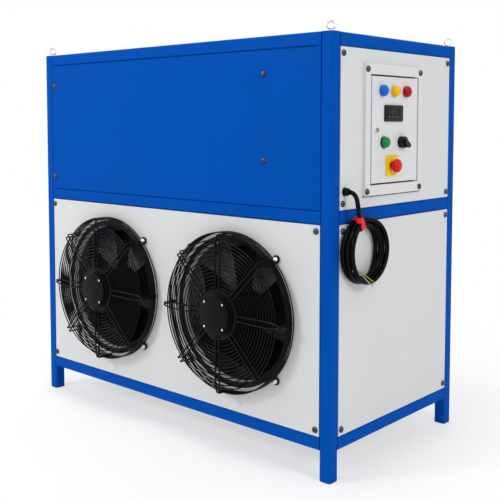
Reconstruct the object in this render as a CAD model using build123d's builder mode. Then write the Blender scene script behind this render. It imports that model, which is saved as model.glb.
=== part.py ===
from build123d import *
import os
from math import cos, pi, radians, sin, sqrt, tan

# Air-cooled water chiller in a welded square-tube frame, in millimetres.
# X runs along the front to the viewer's right, Y from the front to the back, Z up from the floor.

# Frame
frame_width = 1320
frame_depth = 675
frame_height = 1250
tube_size = 38
tube_wall = 2
tube_corner = 4
middle_rail_top = 760
bottom_rail_top = 124

# Panels and the strips that they are screwed to
sheet = 2
panel_gap = 1.5
panel_setback = 0.5
strip_width = 26
strip_thickness = 3
deck_strip_width = 14
deck_strip_stop = 6

# Small round parts are prisms of this many sides
round_sides = 16

# How far a cut runs past the face that it opens
cut_overrun = 1

# Fans: distances along the fan axis are measured from the frame's front face, positive into the machine
fan_spacing = 578
fan_height = 432
fan_opening_radius = 214
fan_lip = 8
fan_lip_sides = 48
guard_rim_radius = 242
guard_knee_radius = 228
guard_face = -62
guard_tip = 8
guard_eye_reach = 22
eye_radius = 11
eye_bolt_radius = 4.5
guard_wire = 4
guard_wire_pitch = 14
guard_sides = 18
guard_arm_overlap = 6
eye_sides = 8
guard_plate_radius = 74
guard_plate = 3
face_rings = 4
flank_rings = 3
motor_front = -84
motor_cap_radius = 58
motor_body_radius = 64
motor_neck_radius = 40
motor_rear = -22
motor_cap = 9
motor_can_radius = 60
motor_sides = 24
rotor_radius = 60
rotor_front = -16
rotor_rear = 78
shaft_radius = 8
shaft_reach = 20
shaft_end_play = 1
blade_count = 5
blade_tip_radius = 205
blade_thickness = 3
blade_middle = 31
blade_pitch = 22
blade_overrun = 40
blade_leading = ((50, 40), (112, 84), (146, 150))
blade_trailing = ((50, -40), (138, -38), (216, 4))

# Condenser coil
coil_thickness = 66
coil_side_gap = 40
coil_from_front = 128
coil_casing = 4
coil_border = 20
coil_height = 570

# Control panel on the right side: distances back from the frame's front face, and heights
control_middle = 299
control_height = 982
control_width = 306
control_tall = 376
control_raise = 10
door_width = 256
door_tall = 317
door_gap = 5
door_depth = 12
door_pin_inset = 4
door_pin_radius = 2.5
door_pin_length = 12
door_pin_play = 1
door_flange = 8
pin_clearance = 0.05
box_depth = 130
box_margin = 4
box_clearance = 0.3
lamp_height = 1095
lamp_places = (227, 289, 352)
lamp_radius = 14.75
lens_radius = 11
lamp_rim = 7
lens_reach = 8
lens_edge = 3
controller_width = 96
controller_tall = 48
controller_reach = 6
controller_border = 6
controller_recess = 1
controller_place = (287, 1030)
start_place = (238, 946)
selector_place = (330, 945)
stop_place = (279, 877)
stop_plate_size = 60
stop_plate_thickness = 4
stop_head_radius = 20
stop_reach = 42
stop_dome = 5
stop_head_edge = 9
stop_collar_radius = 12
stem_radius = 6
stem_tail = 4
bezel_height = 6
cap_rise = 1
knob_rise = 3
button_travel = 4
stop_travel = 5
stop_end_gap = 0.5
running_gap = 0.4
lever_length = 24
lever_width = 8
lever_height = 12
lever_offset = 3
lock_place = (200, 982)
lock_radius = 6
lock_reach = 2
lock_slot_length = 9
lock_slot_width = 1.5

# Supply cable
cable_diameter = 13
gland_place = (61, 812)
gland_reach = 22
gland_hole_radius = 10
gland_hex_radius = 14
gland_hex_length = 7
gland_nut_radius = 11
gland_edge = 3
gland_thread = 8
cable_sides = 6
coil_sides = 24
coil_middle = (126, 641)
coil_outer = (182, 190)
coil_band = 31
coil_reach = 48
coil_start = 4
tie_width = 26
tie_reach = 3
tie_play = 1
core_radius = 1.8
core_pitch = 4.5

# Lifting eyes
eye_ring_radius = 11
eye_wire_radius = 3
eye_collar_radius = 8
eye_collar_height = 4
eye_sink = 1
eye_ring_sides = 12

# Water sockets on the back
socket_bore_radius = 15.15
socket_outer_radius = 22
socket_reach = 25
socket_heights = (850, 950)
socket_inset = 160
socket_tail = 20

# Louvres of the rear lower panel
louvre_columns = 2
louvre_rows = 9
louvre_length = 480
louvre_gap = 60
louvre_pitch = 48
louvre_tall = 16
louvre_out = 8
louvre_slot = 3.4

# Where the frame stands: the middle of everything but the cable lies over the origin
stop_front = control_raise + stop_reach
x_left = -(frame_width + stop_front) / 2
x_right = x_left + frame_width
y_front = -(frame_depth - motor_front + socket_reach) / 2 - motor_front
y_rear = y_front + frame_depth
x_middle = (x_left + x_right) / 2
y_middle = (y_front + y_rear) / 2
top_rail_bottom = frame_height - tube_size
middle_rail_bottom = middle_rail_top - tube_size
bottom_rail_bottom = bottom_rail_top - tube_size
storeys = ((bottom_rail_top, middle_rail_bottom), (middle_rail_top, top_rail_bottom))
strip_front = panel_setback + sheet


def front_plane(x, z, inward):
    # Sketch plane facing the front, inward millimetres behind the frame's front face
    return Plane(origin=(x, y_front + inward, z), x_dir=(1, 0, 0), z_dir=(0, -1, 0))


def side_plane(outward):
    # Sketch plane facing right: x is the distance back from the front face, y the height
    return Plane(origin=(x_right + outward, y_front, 0), x_dir=(0, 1, 0), z_dir=(1, 0, 0))


def tube_outline(inset, mode=Mode.ADD):
    # Outline of the square tube, inset from its outside, its rolled corners as one facet each
    side = tube_size / 2 - inset
    flat = tube_size / 2 - tube_corner
    corners = ((flat, side), (side, flat), (side, -flat), (flat, -side))
    Polygon(*corners, *[(-x, -y) for x, y in corners], align=None, mode=mode)


def finish(piece, name):
    piece.label = name
    export_step(piece, f"parts/{name}.step")


os.makedirs("parts", exist_ok=True)

# Corner posts: square tube, closed on top, with the strips behind the panel edges
post_corners = {
    "post_front_left": (1, 1),
    "post_front_right": (-1, 1),
    "post_rear_left": (1, -1),
    "post_rear_right": (-1, -1),
}
for name, (side, end) in post_corners.items():
    post_x = (x_left if side > 0 else x_right) + side * tube_size / 2
    post_y = (y_front if end > 0 else y_rear) + end * tube_size / 2
    half = tube_size / 2
    strip_middle = half - strip_front - strip_thickness / 2
    with BuildPart() as post:
        with BuildSketch(Plane.XY):
            with Locations((post_x, post_y)):
                tube_outline(0)
        extrude(amount=frame_height)
        with BuildSketch(Plane.XY):
            with Locations((post_x, post_y)):
                tube_outline(tube_wall)
        extrude(amount=frame_height - tube_wall, mode=Mode.SUBTRACT)
        for low, high in storeys:
            with BuildSketch(Plane.XY.offset(low)):
                with Locations((post_x + side * (half + strip_width / 2), post_y - end * strip_middle)):
                    Rectangle(strip_width, strip_thickness)
                with Locations((post_x - side * strip_middle, post_y + end * (half + strip_width / 2))):
                    Rectangle(strip_thickness, strip_width)
            extrude(amount=high - low)
        if name == "post_front_right":
            with BuildSketch(side_plane(-strip_front)):
                with Locations(gland_place):
                    RegularPolygon(gland_hole_radius, round_sides)
            extrude(amount=-strip_thickness, mode=Mode.SUBTRACT)
    finish(post.part, name)

# Rails: three levels of square tube between the posts, with deck strips inside the top and bottom ones
rail_levels = {
    "top_rails": top_rail_bottom,
    "middle_rails": middle_rail_bottom,
    "bottom_rails": bottom_rail_bottom,
}
rail_long = frame_width - 2 * tube_size
rail_short = frame_depth - 2 * tube_size


for name, low in rail_levels.items():
    rail_z = low + tube_size / 2
    with BuildPart() as rails:
        long_planes = [
            Plane(origin=(x_middle - rail_long / 2, y, rail_z), x_dir=(0, inward, 0), z_dir=(1, 0, 0))
            for y, inward in ((y_front + tube_size / 2, 1), (y_rear - tube_size / 2, -1))
        ]
        with BuildSketch(*long_planes):
            tube_outline(0)
            tube_outline(tube_wall, mode=Mode.SUBTRACT)
        extrude(amount=rail_long)
        short_planes = [
            Plane(origin=(x, y_middle - rail_short / 2, rail_z), x_dir=(1, 0, 0), z_dir=(0, 1, 0))
            for x in (x_left + tube_size / 2, x_right - tube_size / 2)
        ]
        with BuildSketch(*short_planes):
            tube_outline(0)
            tube_outline(tube_wall, mode=Mode.SUBTRACT)
        extrude(amount=rail_short)
        if name != "middle_rails":
            strip_z = tube_size / 2 - strip_front - strip_thickness / 2
            strip_z = rail_z + strip_z if name == "top_rails" else rail_z - strip_z
            with BuildSketch(Plane(origin=(x_middle, y_middle, strip_z - strip_thickness / 2))):
                with GridLocations(1, rail_short - deck_strip_width, 1, 2):
                    Rectangle(rail_long - 2 * deck_strip_stop, deck_strip_width)
            extrude(amount=strip_thickness)
    finish(rails.part, name)

# Flat panels in the frame's openings
long_panel = frame_width - 2 * tube_size - 2 * panel_gap
short_panel = frame_depth - 2 * tube_size - 2 * panel_gap


def panel_plane(face, z):
    # Outer face of a panel, seen from outside, centred on its opening
    if face == "front":
        return Plane(origin=(x_middle, y_front + panel_setback, z), x_dir=(1, 0, 0), z_dir=(0, -1, 0))
    if face == "rear":
        return Plane(origin=(x_middle, y_rear - panel_setback, z), x_dir=(-1, 0, 0), z_dir=(0, 1, 0))
    if face == "right":
        return Plane(origin=(x_right - panel_setback, y_middle, z), x_dir=(0, 1, 0), z_dir=(1, 0, 0))
    return Plane(origin=(x_left + panel_setback, y_middle, z), x_dir=(0, -1, 0), z_dir=(-1, 0, 0))


(lower_bottom, lower_top), (upper_bottom, upper_top) = storeys
lower_middle = (lower_bottom + lower_top) / 2
upper_middle = (upper_bottom + upper_top) / 2
lower_tall = lower_top - lower_bottom - 2 * panel_gap
upper_tall = upper_top - upper_bottom - 2 * panel_gap
plain_panels = {
    "front_upper_panel": ("front", upper_middle, long_panel, upper_tall),
    "rear_upper_panel": ("rear", upper_middle, long_panel, upper_tall),
    "left_upper_panel": ("left", upper_middle, short_panel, upper_tall),
    "left_lower_panel": ("left", lower_middle, short_panel, lower_tall),
    "right_lower_panel": ("right", lower_middle, short_panel, lower_tall),
}
for name, (face, z, wide, tall) in plain_panels.items():
    with BuildPart() as panel:
        with BuildSketch(panel_plane(face, z)):
            Rectangle(wide, tall)
        extrude(amount=-sheet)
        if name == "rear_upper_panel":
            for height in socket_heights:
                with BuildSketch(panel_plane(face, z)):
                    with Locations((long_panel / 2 - socket_inset, height - z)):
                        RegularPolygon(socket_outer_radius + running_gap, round_sides)
                extrude(amount=-sheet, mode=Mode.SUBTRACT)
    finish(panel.part, name)

# Right upper panel, cut out for the control box and drilled for the cable gland
box_wide = door_width + 2 * box_margin
box_tall = door_tall + 2 * box_margin
with BuildPart() as right_upper:
    with BuildSketch(panel_plane("right", upper_middle)):
        Rectangle(short_panel, upper_tall)
        with Locations((control_middle - frame_depth / 2, control_height - upper_middle)):
            Rectangle(box_wide, box_tall, mode=Mode.SUBTRACT)
        with Locations((gland_place[0] - frame_depth / 2, gland_place[1] - upper_middle)):
            RegularPolygon(gland_hole_radius, round_sides, mode=Mode.SUBTRACT)
    extrude(amount=-sheet)
finish(right_upper.part, "right_upper_panel")

# Front lower panel: two round openings with an inward lip
fan_centres = (x_middle - fan_spacing / 2, x_middle + fan_spacing / 2)
with BuildPart() as fan_panel:
    with BuildSketch(panel_plane("front", lower_middle)):
        Rectangle(long_panel, lower_tall)
    extrude(amount=-sheet)
    with BuildSketch(front_plane(0, fan_height, panel_setback + sheet)):
        with Locations(*[(x, 0) for x in fan_centres]):
            RegularPolygon(fan_opening_radius + sheet, fan_lip_sides, major_radius=False)
    extrude(amount=-fan_lip)
    with BuildSketch(front_plane(0, fan_height, 0)):
        with Locations(*[(x, 0) for x in fan_centres]):
            Circle(fan_opening_radius)
    extrude(amount=-(panel_setback + sheet + fan_lip), mode=Mode.SUBTRACT)
finish(fan_panel.part, "fan_panel")

# Rear lower panel with rows of pressed louvres
with BuildPart() as louvred:
    rear = panel_plane("rear", lower_middle)
    with BuildSketch(rear):
        Rectangle(long_panel, lower_tall)
    extrude(amount=-sheet)
    column_pitch = louvre_length + louvre_gap
    for column in range(louvre_columns):
        start = (column - (louvre_columns - 1) / 2) * column_pitch - louvre_length / 2
        hood_plane = Plane(origin=rear.origin + rear.x_dir * start, x_dir=rear.z_dir, z_dir=rear.x_dir)
        for row in range(louvre_rows):
            foot = (row - (louvre_rows - 1) / 2) * louvre_pitch
            with BuildSketch(hood_plane):
                with BuildLine():
                    Polyline(
                        (0, foot + louvre_tall),
                        (louvre_out, foot + louvre_slot),
                        (louvre_out, foot),
                        (0, foot),
                        close=True,
                    )
                make_face()
            extrude(amount=louvre_length)
            with BuildSketch(hood_plane.offset(sheet)):
                with BuildLine():
                    Polyline(
                        (-sheet, foot + louvre_slot),
                        (louvre_out - sheet, foot + louvre_slot),
                        (louvre_out - sheet, foot - cut_overrun),
                        (0, foot - cut_overrun),
                        (0, foot),
                        (-sheet, foot),
                        close=True,
                    )
                make_face()
            extrude(amount=louvre_length - 2 * sheet, mode=Mode.SUBTRACT)
finish(louvred.part, "rear_lower_panel")

# Roof and floor sheets on the strips of the top and bottom rails
deck_long = rail_long - 2 * panel_gap
deck_short = rail_short - 2 * panel_gap
with BuildPart() as roof:
    with BuildSketch(Plane.XY.offset(frame_height - panel_setback - sheet)):
        with Locations((x_middle, y_middle)):
            Rectangle(deck_long, deck_short)
    extrude(amount=sheet)
finish(roof.part, "top_panel")

floor_strip_top = bottom_rail_bottom + strip_front + strip_thickness
with BuildPart() as floor:
    with BuildSketch(Plane.XY.offset(floor_strip_top)):
        with Locations((x_middle, y_middle)):
            Rectangle(deck_long, deck_short)
    extrude(amount=sheet)
finish(floor.part, "base_panel")
floor_top = floor_strip_top + sheet

# Condenser coil: fin block in a folded casing, standing on the floor sheet
coil_wide = rail_long - 2 * coil_side_gap
with BuildPart() as condenser:
    with BuildSketch(front_plane(x_middle, floor_top + coil_height / 2, coil_from_front)):
        Rectangle(coil_wide, coil_height)
    extrude(amount=-coil_thickness)
    for inward, direction in ((coil_from_front, -1), (coil_from_front + coil_thickness, 1)):
        with BuildSketch(front_plane(x_middle, floor_top + coil_height / 2, inward)):
            Rectangle(coil_wide - 2 * coil_border, coil_height - 2 * coil_border)
        extrude(amount=direction * coil_casing, mode=Mode.SUBTRACT)
finish(condenser.part, "condenser_coil")

# Fans: guard, motor and impeller, left and right


def ring_sizes():
    # Radius and distance along the axis of each guard ring, from the motor outwards
    step = (guard_knee_radius - guard_plate_radius) / (face_rings + 0.5)
    rings = [(guard_plate_radius + step * (i + 0.5), guard_face) for i in range(face_rings)]
    rings.append((guard_knee_radius, guard_face))
    for i in range(1, flank_rings + 1):
        share = i / flank_rings
        radius = guard_knee_radius + share * (guard_rim_radius - guard_knee_radius)
        rings.append((radius, guard_face + share * (rim_face - guard_face)))
    return rings


rim_face = panel_setback - 1.5 * guard_wire
wire_end = guard_rim_radius + guard_tip
eye_middle = guard_rim_radius + guard_eye_reach
fan_x = fan_centres[0]


def wire_planes(arms):
    # Planes of the two wires of each arm: x outwards along the arm, y towards the front
    planes = []
    for arm in arms:
        angle = radians(45 * arm)
        along = Vector(cos(angle), 0, sin(angle))
        across = Vector(sin(angle), 0, -cos(angle))
        for offset in (-1, 1):
            start = Vector(fan_x, y_front, fan_height) + across * (offset * guard_wire_pitch - guard_wire) / 2
            planes.append(Plane(origin=start, x_dir=along, z_dir=across))
    return planes


with BuildPart() as guard:
    # Rings of few-sided wire: those on the flat face, then those on the sloping flank
    rings = ring_sizes()
    for group in [rings[: face_rings + 1]] + [[ring] for ring in rings[face_rings + 1 :]]:
        with BuildSketch(front_plane(fan_x, fan_height, group[0][1] + guard_wire)):
            for radius, inward in group:
                RegularPolygon(radius, guard_sides, rotation=180 / guard_sides)
                RegularPolygon(radius - guard_wire, guard_sides, rotation=180 / guard_sides, mode=Mode.SUBTRACT)
        extrude(amount=guard_wire)
    # Plate that carries the motor
    with BuildSketch(front_plane(fan_x, fan_height, guard_face + guard_plate)):
        RegularPolygon(guard_plate_radius, guard_sides, rotation=180 / guard_sides)
        RegularPolygon(motor_neck_radius + running_gap, motor_sides, mode=Mode.SUBTRACT)
    extrude(amount=guard_plate)
    # Hairpin arms: straight ones end in a closed tip, diagonal ones in a mounting eye
    for arms, reach in (((0, 2, 4, 6), wire_end), ((1, 3, 5, 7), eye_middle - eye_radius / 2)):
        with BuildSketch(*wire_planes(arms)):
            with BuildLine():
                Polyline(
                    (guard_plate_radius - guard_arm_overlap, -guard_face),
                    (guard_knee_radius, -guard_face),
                    (guard_rim_radius, -rim_face),
                    (reach, -rim_face),
                )
            trace(line_width=guard_wire)
        extrude(amount=guard_wire)
    with BuildSketch(front_plane(fan_x, fan_height, rim_face + guard_wire / 2)):
        with PolarLocations(wire_end, 4):
            Rectangle(guard_wire, guard_wire_pitch + guard_wire)
    extrude(amount=guard_wire)
    with BuildSketch(front_plane(fan_x, fan_height, panel_setback)):
        with PolarLocations(eye_middle, 4, start_angle=45):
            RegularPolygon(eye_radius, eye_sides)
            RegularPolygon(eye_bolt_radius, eye_sides, mode=Mode.SUBTRACT)
    extrude(amount=panel_setback - rim_face + guard_wire / 2)

# Stepped motor housing: cap, body, the neck in the guard's plate and the can behind it
motor_steps = (
    (motor_cap_radius, motor_front, motor_front + motor_cap),
    (motor_body_radius, motor_front + motor_cap, guard_face),
    (motor_neck_radius, guard_face, guard_face + guard_plate + running_gap),
    (motor_can_radius, guard_face + guard_plate + running_gap, motor_rear),
)
with BuildPart() as motor:
    for radius, front, rear in motor_steps:
        with BuildSketch(front_plane(fan_x, fan_height, rear)):
            RegularPolygon(radius, motor_sides)
        extrude(amount=rear - front)
    # Bore of the rotor's shaft
    with BuildSketch(front_plane(fan_x, fan_height, motor_rear)):
        RegularPolygon(shaft_radius + pin_clearance, round_sides, major_radius=False)
    extrude(amount=shaft_reach, mode=Mode.SUBTRACT)

# Sickle blade: pressed plate set at its pitch, x outwards along the blade and y across it
tilt = radians(blade_pitch)
blade_plane = Plane(
    origin=(fan_x, y_front + blade_middle, fan_height),
    x_dir=(1, 0, 0),
    z_dir=(0, -cos(tilt), sin(tilt)),
)
with BuildPart() as blade:
    with BuildSketch(blade_plane):
        with BuildLine():
            leading = ThreePointArc(*blade_leading)
            trailing = ThreePointArc(*blade_trailing)
            Line(leading @ 0, trailing @ 0)
            Polyline(leading @ 1, (blade_tip_radius + blade_overrun, (leading @ 1).Y), trailing @ 1)
        make_face()
    extrude(amount=blade_thickness / 2, both=True)
    with BuildSketch(front_plane(fan_x, fan_height, rotor_rear + blade_middle)):
        RegularPolygon(blade_tip_radius, 2 * guard_sides)
    extrude(amount=4 * blade_middle, mode=Mode.INTERSECT)

with BuildPart() as impeller:
    # Rotor can and shaft
    with BuildSketch(front_plane(fan_x, fan_height, rotor_rear)):
        RegularPolygon(rotor_radius, motor_sides)
    extrude(amount=rotor_rear - rotor_front)
    with BuildSketch(front_plane(fan_x, fan_height, rotor_front)):
        RegularPolygon(shaft_radius, round_sides)
    extrude(amount=rotor_front - motor_rear + shaft_reach - shaft_end_play)
    fan_axis = Axis((fan_x, y_front, fan_height), (0, 1, 0))
    add([blade.part.rotate(fan_axis, 360 / blade_count * number) for number in range(blade_count)])

for side, move in (("left", 0), ("right", fan_spacing)):
    for piece, name in ((guard, "fan_guard"), (motor, "fan_motor"), (impeller, "fan_impeller")):
        finish(piece.part.moved(Location((move, 0, 0))), f"{name}_{side}")

# Control panel: raised frame plate round the door, with the bores of the door's pins
half_door = door_width / 2
pivot_back = control_middle + half_door - door_gap - door_pin_inset
pivot_out = control_raise - door_pin_inset
pivot_plane = Plane(origin=(x_right + pivot_out, y_front + pivot_back, control_height))
swing_room = sqrt(2) * door_pin_inset - door_pin_inset
door_front = control_middle - half_door + door_gap
door_back = pivot_back + door_pin_inset
opening_back = door_back + door_gap + swing_room
opening_low = control_height - door_tall / 2
opening_high = control_height + door_tall / 2
with BuildPart() as control_frame:
    with BuildSketch(side_plane(-panel_setback)):
        with Locations((control_middle, control_height)):
            Rectangle(control_width, control_tall)
        with Locations(((door_front - door_gap + opening_back) / 2, control_height)):
            Rectangle(opening_back - door_front + door_gap, door_tall, mode=Mode.SUBTRACT)
    extrude(amount=control_raise + panel_setback)
    with BuildSketch(pivot_plane):
        RegularPolygon(door_pin_radius + pin_clearance, round_sides, major_radius=False)
    extrude(amount=door_tall / 2 + door_pin_length, both=True, mode=Mode.SUBTRACT)
finish(control_frame.part, "control_frame")

with BuildPart() as control_box:
    with BuildSketch(side_plane(-panel_setback)):
        with Locations((control_middle, control_height)):
            Rectangle(box_wide - 2 * box_clearance, box_tall - 2 * box_clearance)
    extrude(amount=-box_depth)
    with BuildSketch(side_plane(-panel_setback)):
        with Locations((control_middle, control_height)):
            Rectangle(box_wide - 2 * (box_clearance + sheet), box_tall - 2 * (box_clearance + sheet))
    extrude(amount=-(box_depth - sheet), mode=Mode.SUBTRACT)
finish(control_box.part, "control_box")

door_low = opening_low + door_gap
door_high = opening_high - door_gap
door_middle = (door_front + door_back) / 2
with BuildPart() as door:
    with BuildSketch(side_plane(control_raise)):
        with Locations((door_middle, control_height)):
            Rectangle(door_back - door_front, door_high - door_low)
    extrude(amount=-door_depth)
    with BuildSketch(side_plane(control_raise - sheet)):
        with Locations((door_middle, control_height)):
            Rectangle(door_back - door_front - 2 * door_flange, door_high - door_low - 2 * door_flange)
    extrude(amount=-(door_depth - sheet), mode=Mode.SUBTRACT)
    with BuildSketch(pivot_plane):
        RegularPolygon(door_pin_radius, round_sides)
    extrude(amount=door_tall / 2 + door_pin_length - door_pin_play, both=True)
    with BuildSketch(side_plane(control_raise)):
        with Locations(start_place, selector_place, stop_place):
            RegularPolygon(stem_radius + running_gap, round_sides)
    extrude(amount=-sheet, mode=Mode.SUBTRACT)
finish(door.part, "control_door")

# Pilot lamps
for colour, place in zip(("blue", "yellow", "red"), lamp_places):
    with BuildPart() as lamp:
        with BuildSketch(side_plane(control_raise)):
            with Locations((place, lamp_height)):
                RegularPolygon(lamp_radius, round_sides)
        extrude(amount=lamp_rim)
        with BuildSketch(side_plane(control_raise + lamp_rim)):
            with Locations((place, lamp_height)):
                RegularPolygon(lens_radius, round_sides)
        extrude(amount=lens_reach)
        chamfer(lamp.faces().sort_by(Axis.X)[-1].edges(), lens_edge)
    finish(lamp.part, f"lamp_{colour}")

# Digital temperature controller
with BuildPart() as controller:
    with BuildSketch(side_plane(control_raise)):
        with Locations(controller_place):
            Rectangle(controller_width, controller_tall)
    extrude(amount=controller_reach)
    with BuildSketch(side_plane(control_raise + controller_reach)):
        with Locations(controller_place):
            Rectangle(controller_width - 2 * controller_border, controller_tall - 2 * controller_border)
    extrude(amount=-controller_recess, mode=Mode.SUBTRACT)
finish(controller.part, "temperature_controller")

# Bezel rings of the start button and the selector switch
with BuildPart() as bezels:
    with BuildSketch(side_plane(control_raise)):
        with Locations(start_place, selector_place):
            RegularPolygon(lamp_radius, round_sides)
            RegularPolygon(lens_radius + running_gap, round_sides, mode=Mode.SUBTRACT)
    extrude(amount=bezel_height)
finish(bezels.part, "switch_bezels")

cap_back = control_raise + button_travel + cap_rise
with BuildPart() as start_button:
    with BuildSketch(side_plane(cap_back)):
        with Locations(start_place):
            RegularPolygon(lens_radius, round_sides)
    extrude(amount=bezel_height - cap_rise)
    with BuildSketch(side_plane(cap_back)):
        with Locations(start_place):
            RegularPolygon(stem_radius, round_sides)
    extrude(amount=-(cap_back - control_raise + sheet + stem_tail))
finish(start_button.part, "start_button")

knob_back = control_raise + running_gap
with BuildPart() as selector:
    with BuildSketch(side_plane(knob_back)):
        with Locations(selector_place):
            RegularPolygon(lens_radius, round_sides)
    extrude(amount=bezel_height + knob_rise)
    with BuildSketch(side_plane(knob_back + bezel_height + knob_rise)):
        with Locations((selector_place[0] + lever_offset, selector_place[1])):
            Rectangle(lever_length, lever_width)
    extrude(amount=lever_height)
    with BuildSketch(side_plane(knob_back)):
        with Locations(selector_place):
            RegularPolygon(stem_radius, round_sides)
    extrude(amount=-(running_gap + sheet + stem_tail))
finish(selector.part, "selector_switch")

# Emergency stop: square plate and mushroom head
with BuildPart() as stop_plate:
    with BuildSketch(side_plane(control_raise)):
        with Locations(stop_place):
            Rectangle(stop_plate_size, stop_plate_size)
            RegularPolygon(stop_collar_radius + running_gap, round_sides, mode=Mode.SUBTRACT)
    extrude(amount=stop_plate_thickness)
finish(stop_plate.part, "emergency_stop_plate")

stem_front = control_raise + stop_travel + stop_end_gap
head_front = control_raise + stop_reach
head_rear = head_front - stop_dome - stop_head_edge
with BuildPart() as stop_button:
    stop_steps = (
        (stop_head_radius, head_rear, head_front),
        (stop_collar_radius, stem_front, head_rear),
        (stem_radius, control_raise - sheet - stem_tail, stem_front),
    )
    for radius, rear, front in stop_steps:
        with BuildSketch(side_plane(rear)):
            with Locations(stop_place):
                RegularPolygon(radius, round_sides)
        extrude(amount=front - rear)
    chamfer(stop_button.faces().sort_by(Axis.X)[-1].edges(), stop_dome)
finish(stop_button.part, "emergency_stop_button")

# Door lock
with BuildPart() as lock:
    with BuildSketch(side_plane(control_raise)):
        with Locations(lock_place):
            RegularPolygon(lock_radius, round_sides)
    extrude(amount=lock_reach)
    with BuildSketch(side_plane(control_raise + lock_reach)):
        with Locations(lock_place):
            Rectangle(lock_slot_length, lock_slot_width)
    extrude(amount=-lock_reach / 2, mode=Mode.SUBTRACT)
finish(lock.part, "door_lock")

# Lifting eyes on the frame's corners, set across them
eye_outside = eye_ring_radius + eye_wire_radius
eye_bore = eye_ring_radius - eye_wire_radius
with BuildPart() as eyes:
    for side, end in post_corners.values():
        x = (x_left if side > 0 else x_right) + side * tube_size / 2
        y = (y_front if end > 0 else y_rear) + end * tube_size / 2
        with BuildSketch(Plane(origin=(x, y, frame_height))):
            RegularPolygon(eye_collar_radius, round_sides)
        extrude(amount=eye_collar_height)
        middle = frame_height + eye_collar_height + eye_outside - eye_sink
        with BuildSketch(Plane(origin=(x, y, middle), x_dir=(1, 1, 0), z_dir=(1, -1, 0))):
            RegularPolygon(eye_outside, eye_ring_sides)
            RegularPolygon(eye_bore, eye_ring_sides, mode=Mode.SUBTRACT)
        extrude(amount=eye_wire_radius, both=True)
finish(eyes.part, "lifting_eyes")

# Water sockets
with BuildPart() as sockets:
    with BuildSketch(Plane(origin=(x_middle, y_rear + socket_reach, 0), x_dir=(-1, 0, 0), z_dir=(0, 1, 0))):
        with Locations(*[(long_panel / 2 - socket_inset, height) for height in socket_heights]):
            RegularPolygon(socket_outer_radius, round_sides)
            Circle(socket_bore_radius, mode=Mode.SUBTRACT)
    extrude(amount=-(socket_reach + panel_setback + sheet + socket_tail))
finish(sockets.part, "water_sockets")

# Supply cable: gland, lead, coil, tie and cores
with BuildPart() as gland:
    with BuildSketch(side_plane(-panel_setback)):
        with Locations(gland_place):
            RegularPolygon(gland_hex_radius, 6)
    extrude(amount=gland_hex_length)
    with BuildSketch(side_plane(gland_hex_length - panel_setback)):
        with Locations(gland_place):
            RegularPolygon(gland_nut_radius, round_sides)
    extrude(amount=gland_reach - gland_hex_length + panel_setback)
    chamfer(gland.faces().sort_by(Axis.X)[-1].edges(), gland_edge)
    with BuildSketch(side_plane(-panel_setback)):
        with Locations(gland_place):
            RegularPolygon(gland_hole_radius - running_gap, round_sides)
    extrude(amount=-gland_thread)
finish(gland.part, "cable_gland")


def side_point(outward, back, height):
    return Vector(x_right + outward, y_front + back, height)


lead_route = [
    side_point(gland_reach, *gland_place),
    side_point(gland_reach + 18, *gland_place),
    side_point(gland_reach + 33, 69, 798),
    side_point(gland_reach + 36, 82, 778),
    side_point(gland_reach + 26, 94, 757),
    side_point(gland_reach + 8, 101, 734),
]


def arc_radii(points):
    # Largest arc that the two runs at each corner leave room for
    radii = []
    for before, corner, after in zip(points, points[1:], points[2:]):
        turn = radians((corner - before).get_angle(after - corner))
        radii.append(0.45 * min((corner - before).length, (after - corner).length) / tan(turn / 2))
    return radii


lead_radii = arc_radii(lead_route)
print("lead radii", [round(r, 1) for r in lead_radii])
with BuildPart() as lead:
    with BuildLine():
        path = FilletPolyline(*lead_route, radius=lead_radii)
    with BuildSketch(Plane(origin=path @ 0, z_dir=path % 0)):
        RegularPolygon(cable_diameter / 2, cable_sides)
    section = lead.pending_faces[0].area
    sweep()
print("lead volume", lead.part.volume, "section times length", section * path.length)
finish(lead.part, "cable_lead")


def coil_oval(inset):
    # Corners of the coil's few-sided oval, inset from its outside
    turns = [2 * pi * (number + 0.5) / coil_sides for number in range(coil_sides)]
    return [((coil_outer[0] / 2 - inset) * cos(turn), (coil_outer[1] / 2 - inset) * sin(turn)) for turn in turns]


with BuildPart() as cable_coil:
    with BuildSketch(side_plane(coil_start)):
        with Locations(coil_middle):
            Polygon(*coil_oval(0), align=None)
            Polygon(*coil_oval(coil_band), align=None, mode=Mode.SUBTRACT)
    extrude(amount=coil_reach - coil_start)
finish(cable_coil.part, "cable_coil")

# Tie: a band round the coil where the lead joins it
tie_angle = 130
tie_turn = radians(tie_angle)
band_back = coil_middle[0] + (coil_outer[0] - coil_band) / 2 * cos(tie_turn)
band_height = coil_middle[1] + (coil_outer[1] - coil_band) / 2 * sin(tie_turn)
across_band = Vector(0, cos(tie_turn), sin(tie_turn))
tie_centre = side_point((coil_start + coil_reach) / 2, band_back, band_height)
along_band = Vector(0, -sin(tie_turn), cos(tie_turn))
with BuildPart() as tie:
    with BuildSketch(Plane(origin=tie_centre - along_band * (tie_width / 2), x_dir=across_band, z_dir=along_band)):
        Rectangle(coil_band + 2 * tie_reach, coil_reach - coil_start + 2 * tie_reach)
        chamfer(vertices(), tie_reach)
        Rectangle(coil_band + 2 * tie_play, coil_reach - coil_start + tie_play, mode=Mode.SUBTRACT)
    extrude(amount=tie_width)
finish(tie.part, "cable_tie")

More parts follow.
